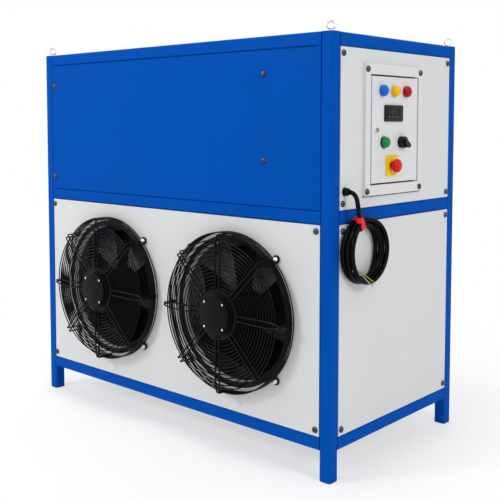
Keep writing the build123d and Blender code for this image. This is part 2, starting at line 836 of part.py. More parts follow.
# Bare cores at the cable's end, at the bottom of the coil
core_start = side_point(coil_reach - 4, 128, 572)
core_ends = (side_point(coil_reach + 2, 150, 548), side_point(coil_reach + 1, 146, 541), side_point(coil_reach, 139, 539))
with BuildPart() as cores:
    for number, end in enumerate(core_ends):
        start = core_start + Vector(0, (1 - number) * core_pitch, 0)
        with BuildSketch(Plane(origin=start, z_dir=end - start)):
            RegularPolygon(core_radius, 6)
        extrude(amount=(end - start).length)
finish(cores.part, "cable_cores")
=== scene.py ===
from math import cos, hypot, pi, radians, sin

import bmesh
import bpy
from bpy.props import FloatProperty, FloatVectorProperty, IntProperty, PointerProperty
from mathutils import Matrix, Vector


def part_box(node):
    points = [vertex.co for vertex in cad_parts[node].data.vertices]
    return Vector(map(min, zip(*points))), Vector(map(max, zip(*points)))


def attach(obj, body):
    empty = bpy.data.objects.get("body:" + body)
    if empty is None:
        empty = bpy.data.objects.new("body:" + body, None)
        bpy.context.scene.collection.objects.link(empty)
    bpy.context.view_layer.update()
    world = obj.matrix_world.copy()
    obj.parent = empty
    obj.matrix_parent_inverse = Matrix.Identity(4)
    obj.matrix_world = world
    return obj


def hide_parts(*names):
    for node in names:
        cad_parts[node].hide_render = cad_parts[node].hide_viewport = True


bl_info = {
    "name": "Air-cooled water chiller",
    "version": (1, 0, 0),
    "blender": (4, 5, 0),
    "location": "View3D > Sidebar > Chiller",
    "description": "Builds the pieces and finishes of an air-cooled water chiller round its CAD frame",
    "category": "Object",
}

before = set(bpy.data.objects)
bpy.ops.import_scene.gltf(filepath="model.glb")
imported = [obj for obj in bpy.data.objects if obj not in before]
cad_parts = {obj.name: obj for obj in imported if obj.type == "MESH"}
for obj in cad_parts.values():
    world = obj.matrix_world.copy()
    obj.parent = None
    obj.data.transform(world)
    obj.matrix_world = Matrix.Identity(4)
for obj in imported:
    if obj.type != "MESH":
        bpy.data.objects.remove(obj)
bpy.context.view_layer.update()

# Faces of the steel frame, in metres, read from the CAD rails
rails_low, rails_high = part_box("top_rails")
LEFT, FRONT = rails_low[:2]
RIGHT, REAR, TOP = rails_high
TUBE = TOP - rails_low[2]
LOWER_HIGH, UPPER_LOW = (corner[2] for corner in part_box("middle_rails"))
LOWER_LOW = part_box("bottom_rails")[1][2]

# How far a fitting's foot stands in the sheet under it
SKIN = 0.0005


def on_right(outward, back, height):
    """Point by its distance out of the frame's right face, back from the front face, and height."""
    return Vector((RIGHT + outward, FRONT + back, height))


def facing_right(outward, back, height):
    """Placement with local z out of the right side and local x to the back."""
    turn = Matrix(((0, 0, 1), (1, 0, 0), (0, 1, 0))).to_4x4()
    return Matrix.Translation(on_right(outward, back, height)) @ turn


def facing_front(x, z):
    """Placement on the front face with local z towards the viewer and local x to the viewer's right."""
    turn = Matrix(((1, 0, 0), (0, 0, -1), (0, 1, 0))).to_4x4()
    return Matrix.Translation((x, FRONT, z)) @ turn


# ---- sizes and colours that a user would change


class ChillerColours(bpy.types.PropertyGroup):
    frame_blue: FloatVectorProperty(
        name="Blue paint", description="Frame and upper panels", subtype="COLOR", default=(0.0, 0.078, 0.43)
    )
    panel_white: FloatVectorProperty(
        name="White paint", description="Screwed panels", subtype="COLOR", default=(0.70, 0.71, 0.72)
    )
    fan_black: FloatVectorProperty(
        name="Fan black", description="Guards and fans", subtype="COLOR", default=(0.003, 0.003, 0.0035)
    )
    cable_black: FloatVectorProperty(
        name="Cable black", description="Sheath of the cable", subtype="COLOR", default=(0.003, 0.003, 0.0035)
    )


class GuardSizes(bpy.types.PropertyGroup):
    inner_radius: FloatProperty(name="Inner", description="First face ring", unit="LENGTH", default=0.083)
    outer_radius: FloatProperty(name="Outer", description="Last face ring", unit="LENGTH", default=0.2225)
    rim_radius: FloatProperty(name="Rim", description="Rings of the flank", unit="LENGTH", default=0.2430)
    face_offset: FloatProperty(name="Face", description="Out of the frame", unit="LENGTH", default=0.0600)
    flank_offset: FloatProperty(name="Flank", description="First flank ring", unit="LENGTH", default=0.0340)
    rim_offset: FloatProperty(name="Foot", description="Last flank ring", unit="LENGTH", default=0.003)
    face_rings: IntProperty(name="Face rings", description="Rings on the flat face", default=14, min=2)
    flank_rings: IntProperty(name="Flank rings", description="Rings on the flank", default=5, min=1)
    ring_wire: FloatProperty(name="Ring wire", description="Its radius", unit="LENGTH", default=0.0019)
    arm_wire: FloatProperty(name="Arm wire", description="Its radius", unit="LENGTH", default=0.0025)


class FanSizes(bpy.types.PropertyGroup):
    blades: IntProperty(name="Blades", description="Blades of an impeller", default=5, min=2)
    tip_radius: FloatProperty(name="Tip", description="Radius of its tips", unit="LENGTH", default=0.203)
    pitch: FloatProperty(name="Pitch", description="Set of the blades", subtype="ANGLE", default=radians(22))
    camber: FloatProperty(name="Camber", description="Hollow of a blade", unit="LENGTH", default=0.012)


class ScrewSizes(bpy.types.PropertyGroup):
    head_radius: FloatProperty(name="Head", description="Radius of a head", unit="LENGTH", default=0.0092)
    head_height: FloatProperty(name="Rise", description="Height of a head", unit="LENGTH", default=0.0058)
    corner_inset: FloatProperty(name="Inset", description="From a panel's edge", unit="LENGTH", default=0.019)


class CableSizes(bpy.types.PropertyGroup):
    diameter: FloatProperty(name="Diameter", description="Outside of the cable", unit="LENGTH", default=0.013)
    points_a_turn: IntProperty(name="Points", description="Route points in a turn", default=16, min=12)


# ---- nodes


def fill(tree, node, sockets):
    """Links or sets inputs of a node, by name or number."""
    for label, value in sockets.items():
        if isinstance(value, bpy.types.NodeSocket):
            tree.links.new(value, node.inputs[label])
        else:
            node.inputs[label].default_value = value


def add(tree, kind, sockets=None, **settings):
    """A new node with its settings and inputs."""
    node = tree.nodes.new(kind)
    for label, value in settings.items():
        setattr(node, label, value)
    fill(tree, node, sockets or {})
    return node


def calculate(tree, operation, first, second):
    return add(tree, "ShaderNodeMath", {0: first, 1: second}, operation=operation).outputs["Value"]


def spread(tree, value, start, end, low, high, **settings):
    """A value carried from one range to another."""
    sockets = {"Value": value, "From Min": start, "From Max": end, "To Min": low, "To Max": high}
    return add(tree, "ShaderNodeMapRange", sockets, **settings).outputs["Result"]


# ---- finishes

# The part of a noise's range that carries its pattern
NOISE_LOW, NOISE_HIGH = 0.3, 0.7

FINISHES = {}


def new_finish(name):
    """Keeps a new material, and returns its tree and its Principled shader."""
    FINISHES[name] = finish = bpy.data.materials.new(name)
    finish.use_nodes = True
    return finish.node_tree, finish.node_tree.nodes["Principled BSDF"]


def noise(tree, scale, detail, stretch=None):
    """Noise on Object coordinates."""
    source = add(tree, "ShaderNodeTexCoord").outputs["Object"]
    if stretch:
        source = add(tree, "ShaderNodeMapping", {"Vector": source, "Scale": stretch}).outputs["Vector"]
    sockets = {"Vector": source, "Scale": scale, "Detail": detail}
    return add(tree, "ShaderNodeTexNoise", sockets).outputs["Fac"]


def gloss(tree, value, low, high):
    """Roughness between two numbers, by a noise value."""
    return spread(tree, value, NOISE_LOW, NOISE_HIGH, low, high)


def tint(tree, value, dark, light):
    """A colour between two, by a noise value."""
    ramp = add(tree, "ShaderNodeValToRGB", {"Fac": value})
    for stop, position, colour in zip(ramp.color_ramp.elements, (NOISE_LOW, NOISE_HIGH), (dark, light)):
        stop.position = position
        stop.color = (*colour, 1)
    return ramp.outputs["Color"]


def bump(tree, value, strength, distance):
    sockets = {"Height": value, "Strength": strength, "Distance": distance}
    return add(tree, "ShaderNodeBump", sockets).outputs["Normal"]


def shaded(colour, factor):
    return tuple(min(1.0, part * factor) for part in colour)


def coating(name, colour, roughness=0.4, mottle=0.05, grain=220.0, depth=0.0002, specular=0.5):
    """Powder coat, moulded plastic or rubber: faint mottling, uneven gloss and a fine skin."""
    tree, shader = new_finish(name)
    cloud, smudge, skin = noise(tree, 4.0, 4.0), noise(tree, 17.0, 5.0), noise(tree, grain, 2.0)
    sockets = {
        "Base Color": tint(tree, cloud, shaded(colour, 1 - mottle), shaded(colour, 1 + mottle)),
        "Roughness": gloss(tree, smudge, roughness * 0.85, roughness * 1.2),
        "Normal": bump(tree, skin, 0.25, depth),
        "Specular IOR Level": specular,
    }
    fill(tree, shader, sockets)
    return tree, shader


def plated(name, colour, roughness=0.3, scale=180.0, stretch=(1, 1, 1)):
    """Plated or drawn metal with fine scratches."""
    tree, shader = new_finish(name)
    cloud, scratches = noise(tree, 35.0, 4.0), noise(tree, scale, 5.0, stretch)
    sockets = {
        "Base Color": tint(tree, cloud, shaded(colour, 0.8), colour),
        "Metallic": 1.0,
        "Roughness": gloss(tree, scratches, roughness * 0.7, roughness * 1.3),
        "Normal": bump(tree, scratches, 0.15, 0.0001),
    }
    fill(tree, shader, sockets)


def lens(name, colour):
    """Moulded coloured cap with a bright polish and a faint grain under it."""
    tree, shader = coating(name, colour, 0.1, 0.08, 400.0, 0.0001, 0.2)
    fill(tree, shader, {"Subsurface Weight": 0.02, "Subsurface Radius": (0.004, 0.002, 0.002)})


def lit_segments(name, colour, strength):
    """Segments of a display, evenly lit but for a faint grain."""
    tree, shader = new_finish(name)
    shade = tint(tree, noise(tree, 900.0, 1.0), shaded(colour, 0.8), colour)
    sockets = {"Base Color": shade, "Emission Color": shade, "Emission Strength": strength, "Roughness": 0.4}
    fill(tree, shader, sockets)


def make_finishes(colours):
    """Every finish of the chiller, by name."""
    white, black = tuple(colours.panel_white), tuple(colours.fan_black)
    plastic = (0.004, 0.004, 0.0045)
    # Colour, roughness, mottling, grain of the skin and its depth, specular level
    coatings = {
        "blue_paint": (tuple(colours.frame_blue), 0.5, 0.03, 260.0, 0.0002, 0.02),
        "white_paint": (white, 0.42, 0.015, 260.0, 0.0002, 0.3),
        "control_paint": (shaded(white, 1.02), 0.38, 0.012),
        "box_paint": ((0.55, 0.56, 0.57), 0.5),
        "fan_black": (black, 0.22, 0.2, 500.0, 0.0002, 0.09),
        "blade_black": (shaded(black, 1.3), 0.8, 0.2, 150.0, 0.0002, 0.015),
        "motor_black": (shaded(black, 1.4), 0.3, 0.15, 350.0, 0.0002, 0.07),
        "sheath": (tuple(colours.cable_black), 0.12, 0.15, 300.0, 0.0001, 0.06),
        "nylon": (plastic, 0.3, 0.1, 300.0, 0.0002, 0.15),
        "red_tape": ((0.85, 0.008, 0.010), 0.3, 0.12, 120.0, 0.0006, 0.2),
        "plate_yellow": ((0.92, 0.60, 0.0), 0.35, 0.03, 220.0, 0.0002, 0.2),
        "switch_black": (plastic, 0.28, 0.1, 400.0, 0.0002, 0.18),
        "display_black": ((0.003, 0.003, 0.004), 0.2, 0.1, 600.0, 0.0002, 0.1),
        "marks": ((0.11, 0.11, 0.12), 0.5),
        "core_earth": ((0.33, 0.38, 0.03), 0.35),
        "core_neutral": ((0.33, 0.36, 0.44), 0.35),
        "core_live": ((0.2, 0.09, 0.07), 0.35),
    }
    # Colour, roughness, size of the scratches
    metals = {
        "zinc": ((0.74, 0.74, 0.72), 0.28),
        "screw_steel": ((0.075, 0.075, 0.08), 0.18),
        "nickel": ((0.8, 0.79, 0.77), 0.18),
        "socket_steel": ((0.6, 0.6, 0.58), 0.36),
        "bezel": ((0.55, 0.55, 0.55), 0.25),
        "copper": ((0.7, 0.32, 0.18), 0.35),
        "casing": ((0.5, 0.52, 0.53), 0.45, 60.0),
        "fins": ((0.62, 0.64, 0.66), 0.5, 90.0, (1, 1, 0.05)),
    }
    lenses = {
        "lens_blue": (0.0, 0.12, 0.68),
        "lens_yellow": (0.88, 0.47, 0.0),
        "lens_red": (0.40, 0.0, 0.002),
        "cap_green": (0.0, 0.24, 0.04),
        "head_red": (0.70, 0.0, 0.002),
    }
    for name, values in coatings.items():
        coating(name, *values)
    for name, values in metals.items():
        plated(name, *values)
    for name, colour in lenses.items():
        lens(name, colour)
    lit_segments("digits", (0.10, 0.025, 0.025), 0.08)


CAD_FINISHES = {
    "blue_paint": (
        "post_front_left", "post_front_right", "post_rear_left", "post_rear_right",
        "top_rails", "middle_rails", "bottom_rails", "front_upper_panel", "rear_upper_panel",
    ),
    "white_paint": (
        "fan_panel", "rear_lower_panel", "left_upper_panel", "left_lower_panel",
        "right_upper_panel", "right_lower_panel", "top_panel",
    ),
    "control_paint": ("control_frame", "control_door"),
    "box_paint": ("control_box", "base_panel"),
    "casing": ("condenser_coil",),
    "fan_black": ("fan_guard_left", "fan_guard_right"),
    "motor_black": ("fan_motor_left", "fan_motor_right"),
    "blade_black": ("fan_impeller_left", "fan_impeller_right"),
    "lens_blue": ("lamp_blue",),
    "lens_yellow": ("lamp_yellow",),
    "lens_red": ("lamp_red",),
    "display_black": ("temperature_controller",),
    "bezel": ("switch_bezels",),
    "cap_green": ("start_button",),
    "switch_black": ("selector_switch",),
    "plate_yellow": ("emergency_stop_plate",),
    "head_red": ("emergency_stop_button",),
    "nickel": ("door_lock",),
    "zinc": ("lifting_eyes",),
    "socket_steel": ("water_sockets",),
    "nylon": ("cable_gland",),
    "sheath": ("cable_lead", "cable_coil"),
    "red_tape": ("cable_tie",),
    "core_earth": ("cable_cores",),
}


# ---- mesh helpers


def around(count, shift=0.0):
    """Angles of equal steps round a circle."""
    return [2 * pi * (number + shift) / count for number in range(count)]


def circle(radius, angles):
    return [(radius * cos(angle), radius * sin(angle)) for angle in angles]


def dome(radius, base, rise, steps):
    """Profile of a dome, from its edge to its closed top."""
    edge = [pi / 2 * step / steps for step in range(steps)]
    return [(radius * cos(angle), base + rise * sin(angle)) for angle in edge] + [(0, base + rise)]


def band(bm, lower, upper, material=0):
    """Faces between two closed rings of vertices, of which one may be a single point."""
    count = max(len(lower), len(upper))
    for number in range(count):
        after = (number + 1) % count
        below = [lower[number], lower[after]] if len(lower) > 1 else lower
        above = [upper[after], upper[number]] if len(upper) > 1 else upper
        bm.faces.new(below + above).material_index = material


def lathe(bm, place, profile, sides=32, material=0):
    """Turns a profile of (radius, height) about local z; it ends in points or meets its own start."""
    closed = profile[0] == profile[-1]
    rings = []
    for radius, height in profile[:-1] if closed else profile:
        spots = circle(radius, around(sides, 0.5)) if radius else [(0, 0)]
        rings.append([bm.verts.new(place @ Vector((x, y, height))) for x, y in spots])
    if closed:
        rings.append(rings[0])
    for lower, upper in zip(rings, rings[1:]):
        band(bm, lower, upper, material)


def prism(bm, place, outline, low, high, material=0):
    """Straight prism over an outline in local x and y."""
    under, over = ([bm.verts.new(place @ Vector((x, y, z))) for x, y in outline] for z in (low, high))
    for face in (under[::-1], over):
        bm.faces.new(face).material_index = material
    band(bm, under, over, material)


def rectangle(wide, tall, at=(0, 0)):
    corners = ((-1, -1), (1, -1), (1, 1), (-1, 1))
    return [(at[0] + x * wide / 2, at[1] + y * tall / 2) for x, y in corners]


def rounded(wide, tall, corner, at=(0, 0), steps=4):
    """Outline of a rectangle with rounded corners."""
    points = []
    for quarter, (x, y) in enumerate(((1, 1), (-1, 1), (-1, -1), (1, -1))):
        middle = (at[0] + x * (wide / 2 - corner), at[1] + y * (tall / 2 - corner))
        arc = circle(corner, [pi / 2 * (quarter + step / steps) for step in range(steps + 1)])
        points += [(middle[0] + u, middle[1] + v) for u, v in arc]
    return points


def squared(half, corner, angles):
    """Outline of a square with rounded corners, one point for each angle."""
    points = []
    flat = half - corner
    for angle in angles:
        reach = half / max(abs(cos(angle)), abs(sin(angle)))
        edge = Vector((reach * cos(angle), reach * sin(angle)))
        middle = Vector([max(-flat, min(flat, part)) for part in edge])
        points.append(tuple(middle + (edge - middle).normalized() * corner))
    return points


def softened(points, rounds=2):
    """Cuts a path's corners, keeping its ends."""
    for _ in range(rounds):
        cut = [points[0]]
        for before, after in zip(points, points[1:]):
            cut += [before.lerp(after, 0.25), before.lerp(after, 0.75)]
        points = cut + [points[-1]]
    return points


def tube(bm, points, radius, sides=8, closed=False, material=0):
    """Round wire along a path, closed into a ring or capped at its ends."""
    count = len(points)
    normal = None
    rings = []
    for number, point in enumerate(points):
        before = points[number - 1] if closed or number else point
        after = points[(number + 1) % count] if closed or number < count - 1 else point
        along = (after - before).normalized()
        if normal is None:
            normal = along.orthogonal()
        normal = (normal - along * normal.dot(along)).normalized()
        across = along.cross(normal)
        spots = [point + normal * x + across * y for x, y in circle(radius, around(sides))]
        rings.append([bm.verts.new(spot) for spot in spots])
    if closed:
        last, first = rings[-1], rings[0]
        shift = min(range(sides), key=lambda n: (first[n].co - last[0].co).length)
        rings.append(first[shift:] + first[:shift])
    else:
        for face in (rings[0][::-1], rings[-1]):
            bm.faces.new(face).material_index = material
    for lower, upper in zip(rings, rings[1:]):
        band(bm, lower, upper, material)


def loose_mesh(bm, name):
    """The mesh of a finished bmesh, its faces outwards."""
    bmesh.ops.recalc_face_normals(bm, faces=bm.faces)
    mesh = bpy.data.meshes.new(name)
    bm.to_mesh(mesh)
    bm.free()
    return mesh


def link_new(name, data):
    """An object in the scene for a mesh, curve, camera or lamp."""
    new = bpy.data.objects.new(name, data)
    bpy.context.scene.collection.objects.link(new)
    return new


def new_piece(bm, name, finishes, sharp=35):
    """An object at the origin from a finished bmesh, smooth up to the sharp angle."""
    mesh = loose_mesh(bm, name)
    for finish in finishes:
        mesh.materials.append(FINISHES[finish])
    mesh.shade_smooth()
    mesh.set_sharp_from_angle(angle=radians(sharp))
    return link_new(name, mesh)


def settle(piece, body, slot, *nodes):
    """Ties a piece to its body and hides the CAD nodes that it stands for; its slot is not used."""
    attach(piece, body)
    if nodes:
        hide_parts(*nodes)
    return piece


def turned(name, finish, place, profile, sides, tied, sharp=35):
    """A single turned piece, tied to a body and hiding the CAD nodes that it stands for; the slot in tied is
    not used.
    """
    bm = bmesh.new()
    lathe(bm, place, profile, sides)
    settle(new_piece(bm, name, [finish], sharp), *tied)


# ---- Geometry Nodes


def new_tree(name, inputs):
    """A geometry tree with the named inputs: the tree, what it is given and its output node."""
    tree = bpy.data.node_groups.new(name, "GeometryNodeTree")
    for label, kind in (("Geometry", "Geometry"), *inputs, ("Material", "Material")):
        tree.interface.new_socket(label, in_out="INPUT", socket_type="NodeSocket" + kind)
    tree.interface.new_socket("Geometry", in_out="OUTPUT", socket_type="NodeSocketGeometry")
    return tree, add(tree, "NodeGroupInput").outputs, add(tree, "NodeGroupOutput")


def end_tree(tree, given, result, output):
    """Smooths and realises the copies, sets their material and closes the tree."""
    for kind in ("GeometryNodeSetShadeSmooth", "GeometryNodeRealizeInstances"):
        output = add(tree, kind, {"Geometry": output}).outputs["Geometry"]
    cover = add(tree, "GeometryNodeSetMaterial", {"Geometry": output, "Material": given["Material"]})
    fill(tree, result, {"Geometry": cover.outputs["Geometry"]})
    return tree


def copies(tree, points, shape, **more):
    """A copy of a shape on every point."""
    sockets = {"Points": points, "Instance": shape, **more}
    return add(tree, "GeometryNodeInstanceOnPoints", sockets).outputs["Instances"]


def mesh_line(tree, count, offset=(0, 0, 0)):
    return add(tree, "GeometryNodeMeshLine", {"Count": count, "Offset": offset}).outputs["Mesh"]


def along_axis(tree, **part):
    """A vector with one part set."""
    return add(tree, "ShaderNodeCombineXYZ", part).outputs["Vector"]


def grow(name, base, tree, values, place=None, sharp=None):
    """Runs a tree on a base mesh with its inputs set, and keeps the result as a plain mesh."""
    piece = link_new(name, base)
    modifier = piece.modifiers.new(tree.name, "NODES")
    modifier.node_group = tree
    sockets = {item.name: item.identifier for item in tree.interface.items_tree if item.in_out == "INPUT"}
    for label, value in values.items():
        modifier[sockets[label]] = value
    evaluated = piece.evaluated_get(bpy.context.evaluated_depsgraph_get())
    mesh = bpy.data.meshes.new_from_object(evaluated)
    piece.modifiers.clear()
    piece.data = mesh
    if place is not None:
        mesh.transform(place)
    bm = bmesh.new()
    bm.from_mesh(mesh)
    bmesh.ops.recalc_face_normals(bm, faces=bm.faces)
    bm.to_mesh(mesh)
    bm.free()
    if sharp is not None:
        mesh.set_sharp_from_angle(angle=radians(sharp))
    return piece


def turned_copies_tree():
    """Copies of the base mesh turned about local z in equal steps."""
    tree, given, result = new_tree("Turned copies", (("Count", "Int"), ("Step", "Float")))
    index = add(tree, "GeometryNodeInputIndex").outputs["Index"]
    turn = along_axis(tree, Z=calculate(tree, "MULTIPLY", index, given["Step"]))
    output = copies(tree, mesh_line(tree, given["Count"]), given["Geometry"], Rotation=turn)
    return end_tree(tree, given, result, output)


def placed_copies_tree():
    """A copy of a shape on every vertex of the base mesh, turned one way."""
    tree, given, result = new_tree("Placed copies", (("Shape", "Object"), ("Rotation", "Vector")))
    shape = add(tree, "GeometryNodeObjectInfo", {"Object": given["Shape"]}).outputs["Geometry"]
    output = copies(tree, given["Geometry"], shape, Rotation=given["Rotation"])
    return end_tree(tree, given, result, output)


def guard_rings_tree():
    """Rings of wire: an even row on the guard's face, then a row down its flank."""
    radii = ("Inner Radius", "Outer Radius", "Rim Radius", "Wire Radius")
    offsets = ("Face Offset", "Flank Offset", "Rim Offset")
    inputs = [(label, "Float") for label in radii + offsets]
    inputs += [(label, "Int") for label in ("Face Rings", "Flank Rings")]
    tree, given, result = new_tree("Guard rings", inputs)
    index = add(tree, "GeometryNodeInputIndex").outputs["Index"]
    face_rings = given["Face Rings"]
    last_face = calculate(tree, "SUBTRACT", face_rings, 1)
    total = calculate(tree, "ADD", face_rings, given["Flank Rings"])
    last = calculate(tree, "SUBTRACT", total, 1)
    on_flank = calculate(tree, "GREATER_THAN", index, last_face)
    face_radius = spread(tree, index, 0, last_face, given["Inner Radius"], given["Outer Radius"])
    radius = spread(tree, on_flank, 0, 1, face_radius, given["Rim Radius"])
    flank_height = spread(tree, index, face_rings, last, given["Flank Offset"], given["Rim Offset"])
    height = spread(tree, on_flank, 0, 1, given["Face Offset"], flank_height)
    spots = {"Geometry": mesh_line(tree, total), "Position": along_axis(tree, Z=height)}
    row = add(tree, "GeometryNodeSetPosition", spots).outputs["Geometry"]
    ring = add(tree, "GeometryNodeCurvePrimitiveCircle", {"Resolution": 96, "Radius": 1.0}).outputs["Curve"]
    rings = {"Geometry": copies(tree, row, ring, Scale=radius)}
    loops = add(tree, "GeometryNodeRealizeInstances", rings).outputs["Geometry"]
    section = {"Resolution": 8, "Radius": given["Wire Radius"]}
    wire = add(tree, "GeometryNodeCurvePrimitiveCircle", section).outputs["Curve"]
    output = add(tree, "GeometryNodeCurveToMesh", {"Curve": loops, "Profile Curve": wire}).outputs["Mesh"]
    return end_tree(tree, given, result, output)


def plates_tree():
    """A row of thin upright plates along local x."""
    inputs = (("Count", "Int"), ("Pitch", "Float"), ("Plate", "Vector"))
    tree, given, result = new_tree("Row of plates", inputs)
    line = mesh_line(tree, given["Count"], along_axis(tree, X=given["Pitch"]))
    plate = add(tree, "GeometryNodeMeshCube", {"Size": given["Plate"]}).outputs["Mesh"]
    return end_tree(tree, given, result, copies(tree, line, plate))


TREES = {}


def make_trees():
    TREES["turned"] = turned_copies_tree()
    TREES["placed"] = placed_copies_tree()
    TREES["rings"] = guard_rings_tree()
    TREES["plates"] = plates_tree()


# ---- stage

CAMERA_PLACE = (RIGHT + 1.359, FRONT - 1.840, 1.001)
CAMERA_TILT, CAMERA_TURN = radians(90 - 3.85), radians(41.99)
CAMERA_LENS, CAMERA_SHIFT = 60.7, -0.14
ROOM_LIGHT, BACKDROP_WHITE = 0.52, 1.0
FLOOR_RADIUS = 14
# Distances from the middle between which the floor fades into the backdrop, and how white it starts
FADE_START, FADE_END, FADE_LOW = 0.7, 1.9, 0.55

# Name, place, target, size and power
LIGHTS = (
    ("front_light", (-1.6, -3.6, 2.6), (-0.3, -0.3, 0.55), 0.8, 56),
    ("right_light", (3.6, -0.6, 2.3), (0.6, 0.1, 0.6), 0.8, 32),
    ("top_light", (0.4, -0.6, 3.8), (0.0, 0.0, 0.6), 1.0, 34),
    ("rear_light", (-1.5, 3.8, 2.6), (0.0, 0.3, 0.6), 2.6, 45),
    ("left_light", (-3.8, 0.4, 2.3), (-0.6, 0.0, 0.6), 2.4, 45),
)


class ChillerStage(bpy.types.Operator):
    """Camera, floor, backdrop and soft studio light"""

    bl_idname = "chiller.stage"
    bl_label = "Stage"

    def execute(self, context):
        camera = bpy.data.cameras.new("photo_camera")
        camera.sensor_width = 36
        camera.lens = CAMERA_LENS
        camera.shift_y = CAMERA_SHIFT
        camera.clip_end = 60
        stand = link_new("photo_camera", camera)
        stand.location = CAMERA_PLACE
        stand.rotation_euler = (CAMERA_TILT, 0, CAMERA_TURN)
        context.scene.camera = stand
        self.lay_floor()
        self.hang_lights()
        self.light_world(context.scene)
        context.scene.view_settings.view_transform = "Standard"
        return {"FINISHED"}

    def lay_floor(self):
        """White floor that fades into the backdrop and keeps the chiller's shadow."""
        bm = bmesh.new()
        bmesh.ops.create_circle(bm, cap_ends=True, radius=FLOOR_RADIUS, segments=64)
        mesh = bpy.data.meshes.new("floor")
        bm.to_mesh(mesh)
        bm.free()
        tree, shader = new_finish("floor_white")
        middle = add(tree, "ShaderNodeTexCoord").outputs["Object"]
        distance = add(tree, "ShaderNodeVectorMath", {0: middle}, operation="LENGTH").outputs["Value"]
        fade = spread(tree, distance, FADE_START, FADE_END, FADE_LOW, 1.0, interpolation_type="SMOOTHSTEP")
        colour = tint(tree, noise(tree, 60.0, 3.0), (0.93, 0.93, 0.93), (0.96, 0.96, 0.96))
        fill(tree, shader, {"Base Color": colour, "Roughness": 0.8, "Specular IOR Level": 0.1})
        paper = add(tree, "ShaderNodeEmission").outputs["Emission"]
        weight = calculate(tree, "MULTIPLY", fade, self.seen_rays(tree))
        mix = add(tree, "ShaderNodeMixShader", {"Fac": weight, 1: shader.outputs["BSDF"], 2: paper})
        fill(tree, tree.nodes["Material Output"], {"Surface": mix.outputs["Shader"]})
        mesh.materials.append(FINISHES["floor_white"])
        link_new("floor", mesh)

    def seen_rays(self, tree):
        """1 for rays from the camera, a mirror or glass."""
        rays = add(tree, "ShaderNodeLightPath").outputs
        seen = calculate(tree, "MAXIMUM", rays["Is Camera Ray"], rays["Is Glossy Ray"])
        return calculate(tree, "MAXIMUM", seen, rays["Is Transmission Ray"])

    def hang_lights(self):
        for name, place, target, size, power in LIGHTS:
            lamp = bpy.data.lights.new(name, "AREA")
            lamp.size = size
            lamp.energy = power
            stand = link_new(name, lamp)
            stand.location = place
            stand.rotation_euler = (Vector(target) - Vector(place)).to_track_quat("-Z", "Y").to_euler()

    def light_world(self, scene):
        scene.world = world = bpy.data.worlds.new("studio")
        world.use_nodes = True
        tree = world.node_tree
        tree.nodes.clear()
        sides = {"Fac": self.seen_rays(tree)}
        for number, strength in ((1, ROOM_LIGHT), (2, BACKDROP_WHITE)):
            white = add(tree, "ShaderNodeBackground", {"Color": (1, 1, 1, 1), "Strength": strength})
            sides[number] = white.outputs["Background"]
        mix = add(tree, "ShaderNodeMixShader", sides)
        add(tree, "ShaderNodeOutputWorld", {"Surface": mix.outputs["Shader"]})


# ---- cable

# Route of the lead from the gland, as outward, back and height
LEAD_ROUTE = (
    (0.0135, 0.0610, 0.8120),
    (0.0225, 0.0605, 0.8120),
    (0.0335, 0.0595, 0.8070),
    (0.0415, 0.0590, 0.7970),
    (0.0440, 0.0600, 0.7840),
    (0.0435, 0.0640, 0.7700),
    (0.0420, 0.0700, 0.7560),
    (0.0405, 0.0755, 0.7415),
    (0.0390, 0.0780, 0.7270),
    (0.0375, 0.0755, 0.7115),
)

# The coil is an oval that leans back as it stands out; angles run up from the back, as seen from the right
COIL_BACK, COIL_HEIGHT, COIL_OUT = 0.1307, 0.642, 0.0245
COIL_HALF_WIDTH, COIL_HALF_HEIGHT = 0.0875, 0.0885
COIL_LEAN, COIL_WAVE = 0.45, 0.0008
TIE_ANGLE, START_ANGLE, END_ANGLE = 114, 146, 236
WHOLE_TURNS = 4

# Places in the bundle: offset from the oval and distance out of the frame
JOIN, NEAR, NEAR_CLOSE, MIDDLE, FAR = (0, 0.0372), (0, 0.0365), (0, 0.0352), (0, 0.0237), (0, 0.0110)
INNER_FAR, INNER_CLOSE, INNER_MIDDLE, INNER_END = ((-0.0130, out) for out in (0.0110, 0.0228, 0.0240, 0.0290))

# Each turn of the bundle: share of the turn from the tie and the place that the cable has there
COIL_LANES = (
    ((0.0, JOIN), (0.10, NEAR), (0.36, NEAR), (0.60, NEAR_CLOSE), (0.80, NEAR_CLOSE), (1.0, MIDDLE)),
    ((0.0, MIDDLE), (0.78, MIDDLE), (0.98, FAR), (1.0, FAR)),
    ((0.0, FAR), (0.44, FAR), (0.68, INNER_FAR), (1.0, INNER_FAR)),
    ((0.0, INNER_FAR), (0.32, INNER_FAR), (0.52, INNER_CLOSE), (0.80, INNER_CLOSE), (1.0, INNER_MIDDLE)),
    ((0.0, INNER_MIDDLE), (0.20, INNER_MIDDLE), (0.34, INNER_END)),
)

# Tape: its middle on the bundle, half its depth in the bundle's plane and outward, width and thickness
TAPE_OUT, TAPE_INSET = 0.0205, 0.004
TAPE_HALF_BAND, TAPE_HALF_DEEP = 0.0165, 0.0178
TAPE_WIDTH, TAPE_THICKNESS = 0.020, 0.0012
TAPE_SKEW, TAPE_PINCH = 0.003, 0.05
LEAD_TAPE_LOW, LEAD_TAPE_HIGH = (0.0391, 0.0776, 0.7280), (0.0404, 0.0755, 0.7425)
# Share of its length and radius of the tape round the lead
LEAD_TAPE = ((0, 0.0092), (0.3, 0.0094), (0.6, 0.0088), (0.85, 0.0082), (1.0, 0.0074))

CORE_RADIUS, STRAND_RADIUS, STRAND_LENGTH = 0.0013, 0.0009, 0.005
